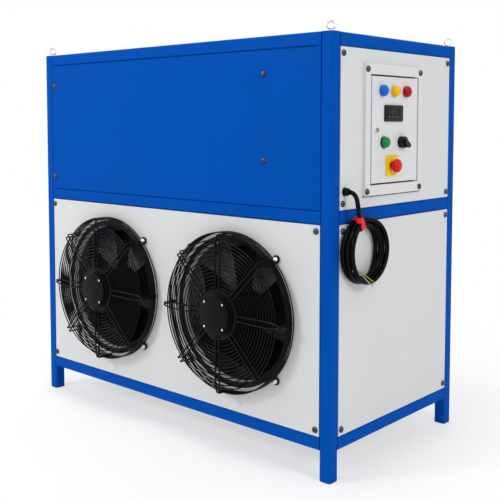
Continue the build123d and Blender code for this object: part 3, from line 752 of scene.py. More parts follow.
# How the cores spread from each other, and how they rise and fall on their way
CORE_SPREAD = Vector((0, 0.0035, 0.002))
CORE_RISE, CORE_FALL = Vector((0.0060, -0.001, 0.001)), Vector((0.0020, 0, 0))
CORE_ENDS = (
    ("core_earth", (0.0500, 0.1370, 0.5535)),
    ("core_neutral", (0.0490, 0.1290, 0.5435)),
    ("core_live", (0.0475, 0.1325, 0.5485)),
)

# Gland: place, profiles of its gasket and dome nut, hexagon between them, and ribs of the nut
GLAND = (-SKIN, 0.061, 0.812)
GLAND_SEAL = ((0, 0), (0.0124, 0), (0.0124, 0.0012), (0.0116, 0.0016), (0, 0.0016))
GLAND_NUT = (
    (0, 0.0055), (0.0104, 0.0055), (0.0106, 0.0065), (0.0106, 0.0110),
    (0.0100, 0.0140), (0.0086, 0.0160), (0.0072, 0.0166), (0, 0.0166),
)
HEX_RADIUS, HEX_LOW, HEX_HIGH = 0.0120, 0.0016, 0.0055
RIBS, RIB_CIRCLE, RIB, RIB_LOW, RIB_HIGH = 16, 0.0106, 0.0011, 0.0062, 0.0112


def in_lane(turn):
    """Offset and distance out of the cable after so many turns from the tie."""
    lane = COIL_LANES[min(int(turn), len(COIL_LANES) - 1)]
    share = turn - int(turn)
    for (start, here), (end, there) in zip(lane, lane[1:]):
        if start <= share <= end:
            part = (share - start) / (end - start)
            part = part * part * (3 - 2 * part)
            return [a + part * (b - a) for a, b in zip(here, there)]
    return lane[-1][1]


def cable_route(points_a_turn):
    """Control points of the whole cable: the lead, then the turns of the bundle."""
    points = [on_right(*place) for place in LEAD_ROUTE]
    turn = (START_ANGLE - TIE_ANGLE) / 360
    ease = 1 / cos(pi / points_a_turn)
    while turn < WHOLE_TURNS + (END_ANGLE - TIE_ANGLE) / 360:
        offset, outward = in_lane(turn)
        angle = radians(TIE_ANGLE + 360 * turn)
        offset += COIL_WAVE * sin(3.3 * angle)
        lean = COIL_LEAN * (outward - COIL_OUT)
        back = COIL_BACK + lean + ease * (COIL_HALF_WIDTH + offset) * cos(angle)
        height = COIL_HEIGHT + ease * (COIL_HALF_HEIGHT + offset) * sin(angle)
        points.append(on_right(outward, back, height))
        turn += 1 / points_a_turn
    return points


class ChillerCable(bpy.types.Operator):
    """Supply cable with its lead, bundle, tape, bare cores and gland"""

    bl_idname = "chiller.cable"
    bl_label = "Cable"

    def execute(self, context):
        sizes = context.scene.chiller_cable
        route = cable_route(sizes.points_a_turn)
        cable = self.lay_cable(route, sizes.diameter)
        tape = self.wrap_tape()
        cores = self.strip_cores(route[-1])
        self.screw_gland()
        return {"FINISHED"}

    def lay_cable(self, route, diameter):
        curve = bpy.data.curves.new("cable", "CURVE")
        curve.dimensions = "3D"
        spline = curve.splines.new("NURBS")
        spline.points.add(len(route) - 1)
        for point, place in zip(spline.points, route):
            point.co = (*place, 1)
        spline.order_u = 3
        spline.use_endpoint_u = True
        spline.resolution_u = curve.resolution_u = curve.render_resolution_u = 6
        curve.bevel_depth = diameter / 2
        curve.bevel_resolution = 4
        curve.use_fill_caps = True
        curve.materials.append(FINISHES["sheath"])
        return settle(link_new("cable", curve), "cabinet", "cable_black", "cable_lead", "cable_coil")

    def wrap_tape(self):
        """Red tape wound tightly round the bundle, following its strands a little."""
        angle = radians(TIE_ANGLE - 2)
        back = COIL_BACK + COIL_HALF_WIDTH * cos(angle)
        height = COIL_HEIGHT + COIL_HALF_HEIGHT * sin(angle)
        across = Vector((0, cos(angle), sin(angle)))
        along = Vector((0, -sin(angle), cos(angle)))
        middle = on_right(TAPE_OUT, back, height) - across * TAPE_INSET
        steps, rows = 40, 7
        bm = bmesh.new()
        rings = []
        for row in range(rows):
            share = row / (rows - 1) - 0.5
            pinch = 1 - TAPE_PINCH * (2 * share) ** 2
            ring = []
            for turn in around(steps):
                c, s = cos(turn), sin(turn)
                squash = (abs(c) ** 4 + abs(s) ** 4) ** -0.25
                crease = 1 + 0.025 * sin(5 * turn + 4 * share) + 0.02 * sin(3 * turn - 9 * share)
                reach = squash * crease * pinch
                spot = middle + across * (TAPE_HALF_BAND * c * reach)
                spot += along * (TAPE_WIDTH * share + TAPE_SKEW * s)
                spot.x += TAPE_HALF_DEEP * s * reach
                ring.append(bm.verts.new(spot))
            rings.append(ring)
        for lower, upper in zip(rings, rings[1:]):
            band(bm, lower, upper)
        self.wrap_lead(bm)
        tape = new_piece(bm, "red_tape", ["red_tape"], sharp=80)
        thick = tape.modifiers.new("thickness", "SOLIDIFY")
        thick.thickness = TAPE_THICKNESS
        thick.offset = 1
        return settle(tape, "cabinet", "tie_red", "cable_tie")

    def wrap_lead(self, bm):
        """Turns of the same tape that hold the lead where it joins the bundle."""
        lower, upper = on_right(*LEAD_TAPE_LOW), on_right(*LEAD_TAPE_HIGH)
        along = (upper - lower).normalized()
        side = along.cross(Vector((1, 0, 0))).normalized()
        front = along.cross(side)
        rows = []
        for share, radius in LEAD_TAPE:
            row = []
            for turn in around(24):
                reach = radius * (1 + 0.04 * sin(4 * turn + 5 * share))
                spot = lower.lerp(upper, share) + reach * (side * cos(turn) + front * sin(turn))
                row.append(bm.verts.new(spot))
            rows.append(row)
        for below, above in zip(rows, rows[1:]):
            band(bm, below, above)

    def strip_cores(self, start):
        """Insulated cores with bare copper ends, out of the cut sheath."""
        bm = bmesh.new()
        for number, (_, end) in enumerate(CORE_ENDS):
            lean = CORE_SPREAD * (1 - number)
            first, last = start + lean * 0.3, on_right(*end)
            rise = first.lerp(last, 0.3) + CORE_RISE
            fall = first.lerp(last, 0.7) + lean * 0.4 + CORE_FALL
            path = softened([first, rise, fall, last])
            tube(bm, path, CORE_RADIUS, material=number)
            tip = last + (last - path[-4]).normalized() * STRAND_LENGTH
            tube(bm, [last, tip], STRAND_RADIUS, material=len(CORE_ENDS))
        cores = new_piece(bm, "cable_core_ends", [finish for finish, _ in CORE_ENDS] + ["copper"])
        return settle(cores, "cabinet", "core_wire", "cable_cores")

    def screw_gland(self):
        """Nylon gland: gasket, hexagon and ribbed dome nut."""
        place = facing_right(*GLAND)
        bm = bmesh.new()
        lathe(bm, place, GLAND_SEAL)
        prism(bm, place, circle(HEX_RADIUS, around(6)), HEX_LOW, HEX_HIGH)
        lathe(bm, place, GLAND_NUT)
        for spot in circle(RIB_CIRCLE, around(RIBS)):
            prism(bm, place, rectangle(RIB, RIB, spot), RIB_LOW, RIB_HIGH)
        settle(new_piece(bm, "gland", ["nylon"]), "cabinet", "gland_black", "cable_gland")


# ---- fans

ARM_ROOT, ARM_HALF_GAP = 0.068, 0.0075
EYE_PAST_RIM, EYE_RADIUS, EYE_DROP = 0.0095, 0.0098, 0.0015
CAP_SCREW_CIRCLE, CAP_FACE = 0.0525, 0.0812

# Profiles as radius and distance out of the frame
PLATE = (
    (0.041, 0.058), (0.074, 0.058), (0.0775, 0.0595), (0.0775, 0.0625), (0.075, 0.0635),
    (0.041, 0.0635), (0.041, 0.058),
)
MOTOR = (
    (0, 0.0814), (0.0555, 0.0814), (0.0575, 0.0809), (0.0588, 0.0794), (0.059, 0.0776), (0.059, 0.0762),
    (0.0565, 0.0755), (0.0565, 0.0745), (0.0612, 0.0742), (0.0622, 0.0732), (0.0622, 0.0712),
    (0.0602, 0.0706), (0.0602, 0.0692), (0.0648, 0.0688), (0.0658, 0.0678), (0.0658, 0.0660),
    (0.0636, 0.0652), (0.0636, 0.0636), (0.0395, 0.0634), (0.0395, 0.0550), (0.0600, 0.0550),
    (0.0600, 0.0225), (0, 0.0225),
)
CAP_SCREW = ((0, 0), (0.0036, 0), (0.0036, 0.0012), (0.0026, 0.0022), (0, 0.0026))
WASHER = ((0, 0), (0.0074, 0), (0.0074, 0.0085), (0.0070, 0.0092), (0, 0.0092))
BOLT_HEAD = ((0, 0.0092), (0.0062, 0.0092), (0.0062, 0.011), (0.0048, 0.0135), (0.0022, 0.0147), (0, 0.0149))
OPENING_EDGE = ((0.2139, -0.009), (0.2159, -0.009), (0.2159, -0.0205), (0.2139, -0.0205), (0.2139, -0.009))
# Flat black ring round the opening: partly the fan's wall ring, partly painted shade between the opening and
# the guard's rim
WALL_RING_AND_SHADE = ((0.2142, -0.0007), (0.2142, 0.0008), (0.2320, 0.0008), (0.2325, -0.0007), (0.2142, -0.0007))
ROTOR = (
    (0, 0.016), (0.052, 0.016), (0.058, 0.013), (0.060, 0.008), (0.060, -0.076), (0.058, -0.078),
    (0, -0.078),
)
SHAFT = ((0, 0.0395), (0.0078, 0.0395), (0.0078, 0.015), (0, 0.015))

# Curves of a blade's two edges, from the rotor to the tip, and its middle and half its thickness
LEADING_EDGE = (Vector((0.050, 0.040)), Vector((0.105, 0.080)), Vector((0.146, 0.150)))
TRAILING_EDGE = (Vector((0.050, -0.040)), Vector((0.140, -0.052)), Vector((0.216, 0.004)))
BLADE_MIDDLE, BLADE_SKIN = -0.031, 0.0015
BLADE_ROWS, BLADE_COLUMNS = 14, 10


class ChillerFans(bpy.types.Operator):
    """Wire guards, motors and sickle-blade impellers of both fans"""

    bl_idname = "chiller.fans"
    bl_label = "Fans"

    def execute(self, context):
        for side in ("left", "right"):
            low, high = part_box("fan_motor_" + side)
            place = facing_front((low[0] + high[0]) / 2, (low[2] + high[2]) / 2)
            self.bend_guard(side, place, context.scene.chiller_guard)
            self.turn_motor(side, place)
            self.line_opening(side, place)
            self.press_impeller(side, place, context.scene.chiller_fan)
        return {"FINISHED"}

    def bend_guard(self, side, place, guard):
        """Rings, eight arms, the motor's plate and four bolts."""
        values = {
            "Inner Radius": guard.inner_radius,
            "Outer Radius": guard.outer_radius,
            "Rim Radius": guard.rim_radius,
            "Face Offset": guard.face_offset,
            "Flank Offset": guard.flank_offset,
            "Rim Offset": guard.rim_offset,
            "Wire Radius": guard.ring_wire,
            "Face Rings": guard.face_rings,
            "Flank Rings": guard.flank_rings,
            "Material": FINISHES["fan_black"],
        }
        base = bpy.data.meshes.new("guard_rings_base")
        rings = grow("guard_rings_" + side, base, TREES["rings"], values, place)
        settle(rings, "cabinet", "guard_black", "fan_guard_" + side)
        straight = self.copied("guard_tips_" + side, self.hairpin(guard, False), 4, place, 0)
        settle(straight, "cabinet", "guard_black")
        slanted = self.copied("guard_mounts_" + side, self.hairpin(guard, True), 4, place, 45)
        settle(slanted, "cabinet", "guard_black")
        turned("guard_plate_" + side, "fan_black", place, PLATE, 64, ("cabinet", "guard_black"))
        bolts = self.copied("guard_bolts_" + side, self.eye_bolt(guard), 4, place, 45, "zinc")
        settle(bolts, "cabinet", "zinc")

    def copied(self, name, base, count, place, first, finish="fan_black"):
        start = Matrix.Rotation(radians(first), 4, "Z")
        values = {"Count": count, "Step": 2 * pi / count, "Material": FINISHES[finish]}
        return grow(name, base, TREES["turned"], values, place @ start, sharp=40)

    def hairpin(self, guard, mount):
        """One arm of the guard along local x: two wires that meet past the rim, or hold a mounting eye."""
        wire, gap = guard.arm_wire, ARM_HALF_GAP
        over = guard.face_offset + guard.ring_wire + wire * 0.6
        foot = guard.rim_offset + guard.ring_wire
        side = guard.rim_radius - guard.ring_wire - wire * 0.8
        bm = bmesh.new()
        if mount:
            eye = guard.rim_radius + EYE_PAST_RIM
            path = (
                (ARM_ROOT, gap, over),
                (side - 0.008, gap, over),
                (side, gap, over - 0.002),
                (side, gap, over - 0.012),
                (side, gap, foot + 0.006),
                (side + 0.001, gap, foot),
                (eye - 0.0062, gap, foot - EYE_DROP),
            )
            loop = [Vector((eye + x, y, foot - EYE_DROP)) for x, y in circle(EYE_RADIUS, around(28))]
            tube(bm, loop, wire, closed=True)
        else:
            path = (
                (ARM_ROOT, gap, over),
                (0.150, gap * 1.2, over),
                (side - 0.026, gap * 1.2, over),
                (side - 0.006, gap * 0.5, over),
                (side, wire, over - 0.004),
                (side, wire, over - 0.016),
                (side, wire, foot + 0.006),
                (side, wire, foot),
            )
        for flip in (1, -1):
            tube(bm, softened([Vector((x, y * flip, z)) for x, y, z in path]), wire)
        return loose_mesh(bm, "hairpin")

    def eye_bolt(self, guard):
        """Washer and domed bolt in a mounting eye, along local z."""
        bm = bmesh.new()
        place = Matrix.Translation((guard.rim_radius + EYE_PAST_RIM, 0, SKIN))
        lathe(bm, place, WASHER, 20)
        lathe(bm, place, BOLT_HEAD, 16)
        return loose_mesh(bm, "eye_bolt")

    def turn_motor(self, side, place):
        """Ribbed motor housing with its cap and four cap screws."""
        tied = ("cabinet", "motor_black", "fan_motor_" + side)
        turned("motor_" + side, "motor_black", place, MOTOR, 64, tied, sharp=30)
        bm = bmesh.new()
        lathe(bm, Matrix.Translation((CAP_SCREW_CIRCLE, 0, CAP_FACE)), CAP_SCREW, 16)
        screws = self.copied("cap_screws_" + side, loose_mesh(bm, "cap_screw"), 4, place, 45, "socket_steel")
        settle(screws, "cabinet", "zinc")

    def line_opening(self, side, place):
        """Rolled sheet edge that carries the opening's lip on inwards, and a flat black ring on the sheet,
        partly a wall ring and partly painted shade round the opening.
        """
        turned("opening_edge_" + side, "white_paint", place, OPENING_EDGE, 96, ("cabinet", "white_panel"))
        turned("wall_ring_" + side, "fan_black", place, WALL_RING_AND_SHADE, 96, ("cabinet", "guard_black"))

    def press_impeller(self, side, place, fan):
        """Rotor can and cambered sickle blades, turned out of one blade."""
        body = side + "_impeller"
        blades = self.copied("blades_" + side, self.blade(fan), fan.blades, place, 0, "blade_black")
        settle(blades, body, "blade_black", "fan_impeller_" + side)
        bm = bmesh.new()
        lathe(bm, place, ROTOR, 48)
        lathe(bm, place, SHAFT, 20)
        settle(new_piece(bm, "rotor_" + side, ["motor_black"]), body, "blade_black")

    def blade(self, fan):
        """A sickle blade outwards along local x, hollow in front."""
        bm = bmesh.new()
        rims = []
        for skin, order in ((BLADE_SKIN, 1), (-BLADE_SKIN, -1)):
            grid = self.blade_face(bm, fan, skin)
            for a, b in zip(grid, grid[1:]):
                for n in range(BLADE_COLUMNS):
                    bm.faces.new((a[n], b[n], b[n + 1], a[n + 1])[::order])
            inward = [row[-1] for row in grid[-2::-1]]
            rims.append([row[0] for row in grid] + grid[-1][1:] + inward + grid[0][-2:0:-1])
        band(bm, *rims)
        return loose_mesh(bm, "blade")

    def blade_face(self, bm, fan, skin):
        """Vertices of one face of a blade, in rows outwards, at a distance from its middle sheet."""
        grid = []
        turn_cos, turn_sin = cos(fan.pitch), sin(fan.pitch)
        for along in range(BLADE_ROWS + 1):
            s = along / BLADE_ROWS
            edges = (TRAILING_EDGE, LEADING_EDGE)
            start, end = [a * (1 - s) ** 2 + b * 2 * s * (1 - s) + c * s * s for a, b, c in edges]
            row = []
            for across in range(BLADE_COLUMNS + 1):
                c = across / BLADE_COLUMNS
                u, v = start.lerp(end, c)
                cut = min(1, fan.tip_radius / hypot(u, v * turn_cos))
                u, v = u * cut, v * cut
                rise = skin - fan.camber * 4 * c * (1 - c) * (0.4 + 0.6 * s)
                spot = (u, v * turn_cos + rise * turn_sin, BLADE_MIDDLE - v * turn_sin + rise * turn_cos)
                row.append(bm.verts.new(spot))
            grid.append(row)
        return grid


# ---- condenser

FIN_PITCH, FIN_BORDER, FIN_INSET = 0.004, 0.021, 0.0022
FIN_THICKNESS, FIN_DEPTH = 0.0004, 0.0036


class ChillerFins(bpy.types.Operator):
    """Fins on the front and back of the condenser coil"""

    bl_idname = "chiller.fins"
    bl_label = "Condenser fins"

    def execute(self, context):
        low, high = (Vector(corner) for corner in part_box("condenser_coil"))
        values = {
            "Count": int((high.x - low.x - 2 * FIN_BORDER) / FIN_PITCH),
            "Pitch": FIN_PITCH,
            "Plate": (FIN_THICKNESS, FIN_DEPTH, high.z - low.z - 2 * FIN_BORDER),
            "Material": FINISHES["fins"],
        }
        for name, y in (("fins_front", low.y + FIN_INSET), ("fins_back", high.y - FIN_INSET)):
            start = Matrix.Translation((low.x + FIN_BORDER + FIN_PITCH / 2, y, (low.z + high.z) / 2))
            fins = grow(name, bpy.data.meshes.new("fins_base"), TREES["plates"], values, start)
            settle(fins, "cabinet", "condenser")
        return {"FINISHED"}


# ---- screws

# Screws of the upper front panel, in from its left or right edge, and height
UPPER_FRONT_LEFT = ((0.016, 1.137), (0.016, 0.805))
UPPER_FRONT_RIGHT = ((0.208, 1.143), (0.208, 0.893))
CONTROL_FRAME_BACKS, CONTROL_FRAME_HEIGHTS = (0.155, 0.438), (0.8065, 1.1540)

# Share of a head's radius and height
SCREW_HEAD = ((0, 0), (1, 0), (1, 0.25), (0.86, 0.68), (0.55, 0.95), (0.34, 1), (0.2, 0.62), (0, 0.5))


class ChillerScrews(bpy.types.Operator):
    """Screws of the panels, the control plate and the roof"""

    bl_idname = "chiller.screws"
    bl_label = "Screws"

    def execute(self, context):
        sizes = context.scene.chiller_screws
        shape = self.screw(sizes)
        inset, sunk = sizes.corner_inset, sizes.head_height
        left, right = LEFT + TUBE, RIGHT - TUBE
        front, rear = FRONT + TUBE, REAR - TUBE
        places = {side: [] for side in ("front", "rear", "right", "left", "roof")}
        for low, high in ((LOWER_LOW, LOWER_HIGH), (UPPER_LOW, TOP - TUBE)):
            for z in (low + inset, high - inset):
                places["right"] += [(RIGHT - SKIN, y, z) for y in (front + inset * 0.75, rear - inset * 0.75)]
                places["left"] += [(LEFT + sunk, y, z) for y in (front + inset, rear - inset)]
                places["rear"] += [(x, REAR - SKIN, z) for x in (left + inset, right - inset)]
                if low == LOWER_LOW:
                    across = (left + inset * 0.5, right - inset * 0.75)
                    places["front"] += [(x, FRONT + SKIN, z) for x in across]
        places["front"] += [(left + edge, FRONT + SKIN, z) for edge, z in UPPER_FRONT_LEFT]
        places["front"] += [(right - edge, FRONT + SKIN, z) for edge, z in UPPER_FRONT_RIGHT]
        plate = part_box("control_frame")[1][0]
        for back in CONTROL_FRAME_BACKS:
            places["right"] += [(plate, FRONT + back, z) for z in CONTROL_FRAME_HEIGHTS]
        for x in (left + inset, (left + right) / 2, right - inset):
            places["roof"] += [(x, y, TOP - SKIN) for y in (front + inset, rear - inset)]
        turns = {
            "front": (pi / 2, 0, 0),
            "rear": (-pi / 2, 0, 0),
            "right": (pi / 2, 0, pi / 2),
            "left": (pi / 2, 0, -pi / 2),
            "roof": (0, 0, 0),
        }
        for side, rotation in turns.items():
            base = bpy.data.meshes.new("screws_" + side)
            base.from_pydata(places[side], [], [])
            values = {"Shape": shape, "Rotation": rotation, "Material": FINISHES["screw_steel"]}
            settle(grow("screws_" + side, base, TREES["placed"], values, sharp=35), "cabinet", "zinc")
        bpy.data.objects.remove(shape)
        return {"FINISHED"}

    def screw(self, sizes):
        """Domed screw head with a recess, along local z."""
        bm = bmesh.new()
        profile = [(sizes.head_radius * across, sizes.head_height * up) for across, up in SCREW_HEAD]
        lathe(bm, Matrix.Identity(4), profile, 16)
        return link_new("screw_shape", loose_mesh(bm, "screw_shape"))


# ---- controls

DOOR_FACE = 0.010
LAMP_HEIGHT = 1.095
# Places on the door, as back and height
LAMPS = (("blue", 0.227), ("yellow", 0.289), ("red", 0.352))
START = (0.238, 0.946)
SELECTOR = (0.330, 0.945)
STOP = (0.279, 0.877)
CONTROLLER = (0.287, 1.030)
LOCK = (0.200, 0.982)

# Profiles as radius and distance out of the door
LAMP_RIM = ((0, 0), (0.0172, 0), (0.0172, 0.0012), (0.0166, 0.0018), (0, 0.0018))
LAMP_LENS = [(0, 0.0018), (0.0165, 0.0018), (0.0167, 0.0028)] + dome(0.0167, 0.0085, 0.0120, 9)
BEZEL = ((0.0160, 0), (0.0174, 0), (0.0174, 0.0028), (0.0168, 0.0038), (0.0160, 0.0038), (0.0160, 0))
START_STEM = [(0, -0.005), (0.0058, -0.005), (0.0058, 0.0043), (0.0156, 0.0043)]
START_CAP = START_STEM + dome(0.0156, 0.0115, 0.0075, 5)
KNOB = (
    (0, -0.005), (0.0058, -0.005), (0.0058, 0.0044), (0.0176, 0.0044), (0.0176, 0.0150), (0.0162, 0.0166),
    (0, 0.0166),
)
MUSHROOM = (
    (0, -0.005), (0.0058, -0.005), (0.0058, 0.0058), (0.0115, 0.0058), (0.0115, 0.0150), (0.0188, 0.0150),
    (0.0200, 0.0165), (0.0202, 0.0205), (0.0196, 0.0240), (0.0178, 0.0272), (0.0145, 0.0295),
    (0.008, 0.0310), (0, 0.0315),
)
# Thumb lever as width, height, corner and middle
LEVER = (0.0330, 0.0135, 0.0050, (0.0060, 0))
LEVER_LOW, LEVER_HIGH, LEVER_TURN = 0.0160, 0.0240, radians(-35)
LOCK_RIM = (
    (0, 0), (0.0112, 0), (0.0112, 0.0014), (0.0098, 0.0036), (0.0068, 0.0038), (0.0066, 0.0016),
    (0, 0.0016),
)
LOCK_BARREL = ((0, 0.0014), (0.0066, 0.0014), (0.0060, 0.0024), (0, 0.0024))
LOCK_BAR, LOCK_BAR_LOW, LOCK_BAR_HIGH, LOCK_BAR_TURN = (0.0092, 0.0026), 0.0022, 0.0030, radians(55)

# Stop plate: half its side and its corner below and above, hole, height of the edge and thickness
STOP_LOWER, STOP_UPPER, STOP_HOLE = (0.030, 0.003), (0.0294, 0.0026), 0.0125
STOP_EDGE, STOP_THICKNESS = 0.0034, 0.004
# Strip of painted shadow under the control frame: its height, its reach out of the frame and its drop below
# the frame
SHADOW_STRIP_WIDTH, SHADOW_STRIP_REACH, SHADOW_STRIP_DROP = 0.0026, 0.0060, 0.0014

# Controller's housing, front and window: width, height, corner and middle, then bottom, top and material
CONTROLLER_STEPS = (
    ((0.096, 0.048, 0.004), 0, 0.0042, 0),
    ((0.0935, 0.0455, 0.0032), 0.0042, 0.0054, 0),
    ((0.074, 0.032, 0.002, (-0.004, 0)), 0.0054, 0.0058, 1),
)
CONTROLLER_FRONT, CONTROLLER_WINDOW = (step[2] for step in CONTROLLER_STEPS[1:])
FIGURE_TOP, MARK_TOP = 0.0059, 0.0060
FIGURE_PLACE, FIGURE_PITCH, FIGURE_HALF = (-0.024, 0.005), 0.0155, (0.0040, 0.0063)
LEVEL_BAR, UPRIGHT_BAR = (0.0062, 0.0014), (0.0014, 0.0054)
LOWER_MARK, LOWER_MARK_PLACE, LOWER_MARK_PITCH = (0.0075, 0.0028, 0.001), (-0.026, -0.0105), 0.0145
SIDE_MARK, SIDE_MARK_PLACE, SIDE_MARK_HEIGHTS = (0.0028, 0.0028), 0.0385, (0.0095, 0.001, -0.0095)

# Bars of a seven-bar digit, clockwise from the top and the middle last, and the bars of each figure
DIGIT_BARS = ((0, 1, 1), (1, 0.5, 0), (1, -0.5, 0), (0, -1, 1), (-1, -0.5, 0), (-1, 0.5, 0), (0, 0, 1))
DIGITS = {"1": (1, 2), "2": (0, 1, 6, 4, 3), "5": (0, 5, 6, 2, 3)}
DISPLAY = "125"


class ChillerControls(bpy.types.Operator):
    """Lamps, buttons, switch, controller and lock on the instrument door"""

    bl_idname = "chiller.controls"
    bl_label = "Controls"

    def execute(self, context):
        for colour, back in LAMPS:
            self.pilot_lamp(colour, facing_right(DOOR_FACE, back, LAMP_HEIGHT))
        self.bezels()
        cap = ("start_cap", "button_green", "start_button")
        turned("green_cap", "cap_green", facing_right(DOOR_FACE, *START), START_CAP, 40, cap)
        self.selector()
        self.stop()
        self.controller()
        self.lock()
        # Painted shadow under the control frame's lower edge
        self.painted_shadow_strip()
        return {"FINISHED"}

    def painted_shadow_strip(self):
        """Black strip of painted shadow along the lower edge of the control frame."""
        low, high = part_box("control_frame")
        place = facing_right(-SKIN, (low[1] + high[1]) / 2 - FRONT, low[2] - SHADOW_STRIP_DROP)
        bm = bmesh.new()
        prism(bm, place, rectangle(high[1] - low[1], SHADOW_STRIP_WIDTH), 0, SHADOW_STRIP_REACH)
        settle(new_piece(bm, "frame_seal", ["switch_black"]), "cabinet", "gland_black")

    def pilot_lamp(self, colour, place):
        bm = bmesh.new()
        lathe(bm, place, LAMP_RIM, 40, material=1)
        lathe(bm, place, LAMP_LENS, 40)
        lamp = new_piece(bm, "pilot_" + colour, ["lens_" + colour, "bezel"])
        settle(lamp, "door", "lamp_" + colour, "lamp_" + colour)

    def bezels(self):
        bm = bmesh.new()
        for spot in (START, SELECTOR):
            lathe(bm, facing_right(DOOR_FACE, *spot), BEZEL, 40)
        settle(new_piece(bm, "bezels", ["switch_black"]), "door", "bezel_black", "switch_bezels")

    def selector(self):
        """Round knob with a long thumb lever, pointing right and down."""
        place = facing_right(DOOR_FACE, *SELECTOR)
        bm = bmesh.new()
        lathe(bm, place, KNOB, 40)
        prism(bm, place @ Matrix.Rotation(LEVER_TURN, 4, "Z"), rounded(*LEVER), LEVER_LOW, LEVER_HIGH)
        knob = new_piece(bm, "selector_lever", ["switch_black"])
        settle(knob, "selector_knob", "selector_black", "selector_switch")

    def stop(self):
        """Square yellow plate with a round hole, and the mushroom head through it."""
        place = facing_right(DOOR_FACE, *STOP)
        angles = around(48)
        outline, upper = squared(*STOP_LOWER, angles), squared(*STOP_UPPER, angles)
        hole = circle(STOP_HOLE, angles)
        bm = bmesh.new()
        levels = []
        outer = ((outline, 0), (outline, STOP_EDGE), (upper, STOP_THICKNESS))
        for points, z in (*outer, (hole, STOP_THICKNESS), (hole, 0)):
            levels.append([bm.verts.new(place @ Vector((x, y, z))) for x, y in points])
        for lower, upper in zip(levels, levels[1:] + levels[:1]):
            band(bm, lower, upper)
        settle(new_piece(bm, "stop_plate", ["plate_yellow"]), "door", "stop_yellow", "emergency_stop_plate")
        head = ("stop_head", "stop_red", "emergency_stop_button")
        turned("stop_mushroom", "head_red", place, MUSHROOM, 48, head)

    def controller(self):
        """Housing, front, dark window, its digits, four marks under them and three beside it."""
        place = facing_right(DOOR_FACE, *CONTROLLER)
        bm = bmesh.new()
        for outline, low, high, material in CONTROLLER_STEPS:
            prism(bm, place, rounded(*outline), low, high, material)
        for number, figure in enumerate(DISPLAY):
            for bar in DIGITS[figure]:
                x, y, level = DIGIT_BARS[bar]
                across = FIGURE_PLACE[0] + FIGURE_PITCH * number + x * FIGURE_HALF[0]
                up = FIGURE_PLACE[1] + y * FIGURE_HALF[1]
                outline = rectangle(*(LEVEL_BAR if level else UPRIGHT_BAR), (across, up))
                prism(bm, place, outline, CONTROLLER_WINDOW, FIGURE_TOP, material=2)
        for number in range(4):
            spot = (LOWER_MARK_PLACE[0] + LOWER_MARK_PITCH * number, LOWER_MARK_PLACE[1])
            prism(bm, place, rounded(*LOWER_MARK, spot), CONTROLLER_WINDOW, MARK_TOP, material=3)
        for up in SIDE_MARK_HEIGHTS:
            outline = rectangle(*SIDE_MARK, (SIDE_MARK_PLACE, up))
            prism(bm, place, outline, CONTROLLER_FRONT, FIGURE_TOP, material=3)
        piece = new_piece(bm, "digital_controller", ["switch_black", "display_black", "digits", "marks"])
        settle(piece, "door", "controller_black", "temperature_controller")

    def lock(self):
        """Nickel rim, dark barrel and its turned driving bar."""
        place = facing_right(DOOR_FACE, *LOCK)
        bm = bmesh.new()
        lathe(bm, place, LOCK_RIM)
        lathe(bm, place, LOCK_BARREL, material=1)
        bar_place = place @ Matrix.Rotation(LOCK_BAR_TURN, 4, "Z")
        prism(bm, bar_place, rectangle(*LOCK_BAR), LOCK_BAR_LOW, LOCK_BAR_HIGH)
        settle(new_piece(bm, "lock_face", ["nickel", "switch_black"]), "door", "lock_steel", "door_lock")


# ---- lifting eyes

EYE_RING, EYE_WIRE = 0.0108, 0.0030
EYE_COLLAR = ((0, 0), (0.0085, 0), (0.0085, 0.0028), (0.0062, 0.0045), (0.0034, 0.0062), (0, 0.0062))


class ChillerEyes(bpy.types.Operator):
    """Lifting eyes with their collars on the frame's corners"""

    bl_idname = "chiller.eyes"
    bl_label = "Lifting eyes"

    def execute(self, context):
        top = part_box("lifting_eyes")[1][2]
        across = Vector((1, 1, 0)).normalized()
        half = TUBE / 2
        bm = bmesh.new()
        for x in (LEFT + half, RIGHT - half):
            for y in (FRONT + half, REAR - half):
                lathe(bm, Matrix.Translation((x, y, TOP)), EYE_COLLAR, 24)
                centre = Vector((x, y, top - EYE_RING - EYE_WIRE))
                loop = [centre + across * u + Vector((0, 0, v)) for u, v in circle(EYE_RING, around(36))]
                tube(bm, loop, EYE_WIRE, sides=12, closed=True)
        settle(new_piece(bm, "eye_bolts", ["zinc"]), "cabinet", "zinc", "lifting_eyes")
        return {"FINISHED"}


# ---- finishes of the CAD nodes


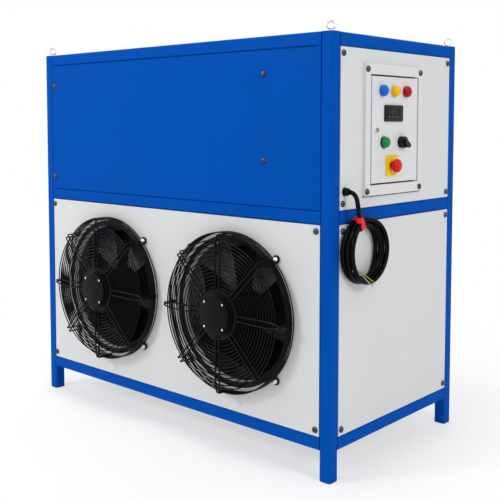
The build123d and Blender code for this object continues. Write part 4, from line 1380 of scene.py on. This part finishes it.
class ChillerPaint(bpy.types.Operator):
    """Paints every CAD node"""

    bl_idname = "chiller.paint"
    bl_label = "Paint"

    def execute(self, context):
        for finish, names in CAD_FINISHES.items():
            for name in names:
                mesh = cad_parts[name].data
                mesh.materials.clear()
                mesh.materials.append(FINISHES[finish])
        return {"FINISHED"}


class ChillerMaterials(bpy.types.Operator):
    """Makes the finishes and the node trees"""

    bl_idname = "chiller.materials"
    bl_label = "Materials"

    def execute(self, context):
        make_finishes(context.scene.chiller_colours)
        make_trees()
        return {"FINISHED"}


class ChillerPanel(bpy.types.Panel):
    """Pieces of the chiller and the sizes that can be changed"""

    bl_idname = "VIEW3D_PT_chiller"
    bl_label = "Chiller"
    bl_space_type = "VIEW_3D"
    bl_region_type = "UI"
    bl_category = "Chiller"

    def draw(self, context):
        layout = self.layout
        for group, name in GROUPS.items():
            box = layout.box()
            for label in group.__annotations__:
                box.prop(getattr(context.scene, name), label)
        for operator in OPERATORS:
            layout.operator(operator.bl_idname)


GROUPS = {
    ChillerColours: "chiller_colours",
    GuardSizes: "chiller_guard",
    FanSizes: "chiller_fan",
    ScrewSizes: "chiller_screws",
    CableSizes: "chiller_cable",
}
OPERATORS = (
    ChillerMaterials,
    ChillerStage,
    ChillerCable,
    ChillerFans,
    ChillerFins,
    ChillerScrews,
    ChillerControls,
    ChillerEyes,
    ChillerPaint,
)


def register():
    for group, name in GROUPS.items():
        bpy.utils.register_class(group)
        setattr(bpy.types.Scene, name, PointerProperty(type=group))
    for operator in OPERATORS:
        bpy.utils.register_class(operator)
    bpy.utils.register_class(ChillerPanel)


def unregister():
    bpy.utils.unregister_class(ChillerPanel)
    for operator in reversed(OPERATORS):
        bpy.utils.unregister_class(operator)
    for group, name in GROUPS.items():
        delattr(bpy.types.Scene, name)
        bpy.utils.unregister_class(group)


def main():
    register()
    bpy.ops.chiller.materials()
    bpy.ops.chiller.stage()
    bpy.ops.chiller.cable()
    bpy.ops.chiller.fans()
    bpy.ops.chiller.fins()
    bpy.ops.chiller.screws()
    bpy.ops.chiller.controls()
    bpy.ops.chiller.eyes()
    bpy.ops.chiller.paint()


if __name__ == "__main__":
    main()
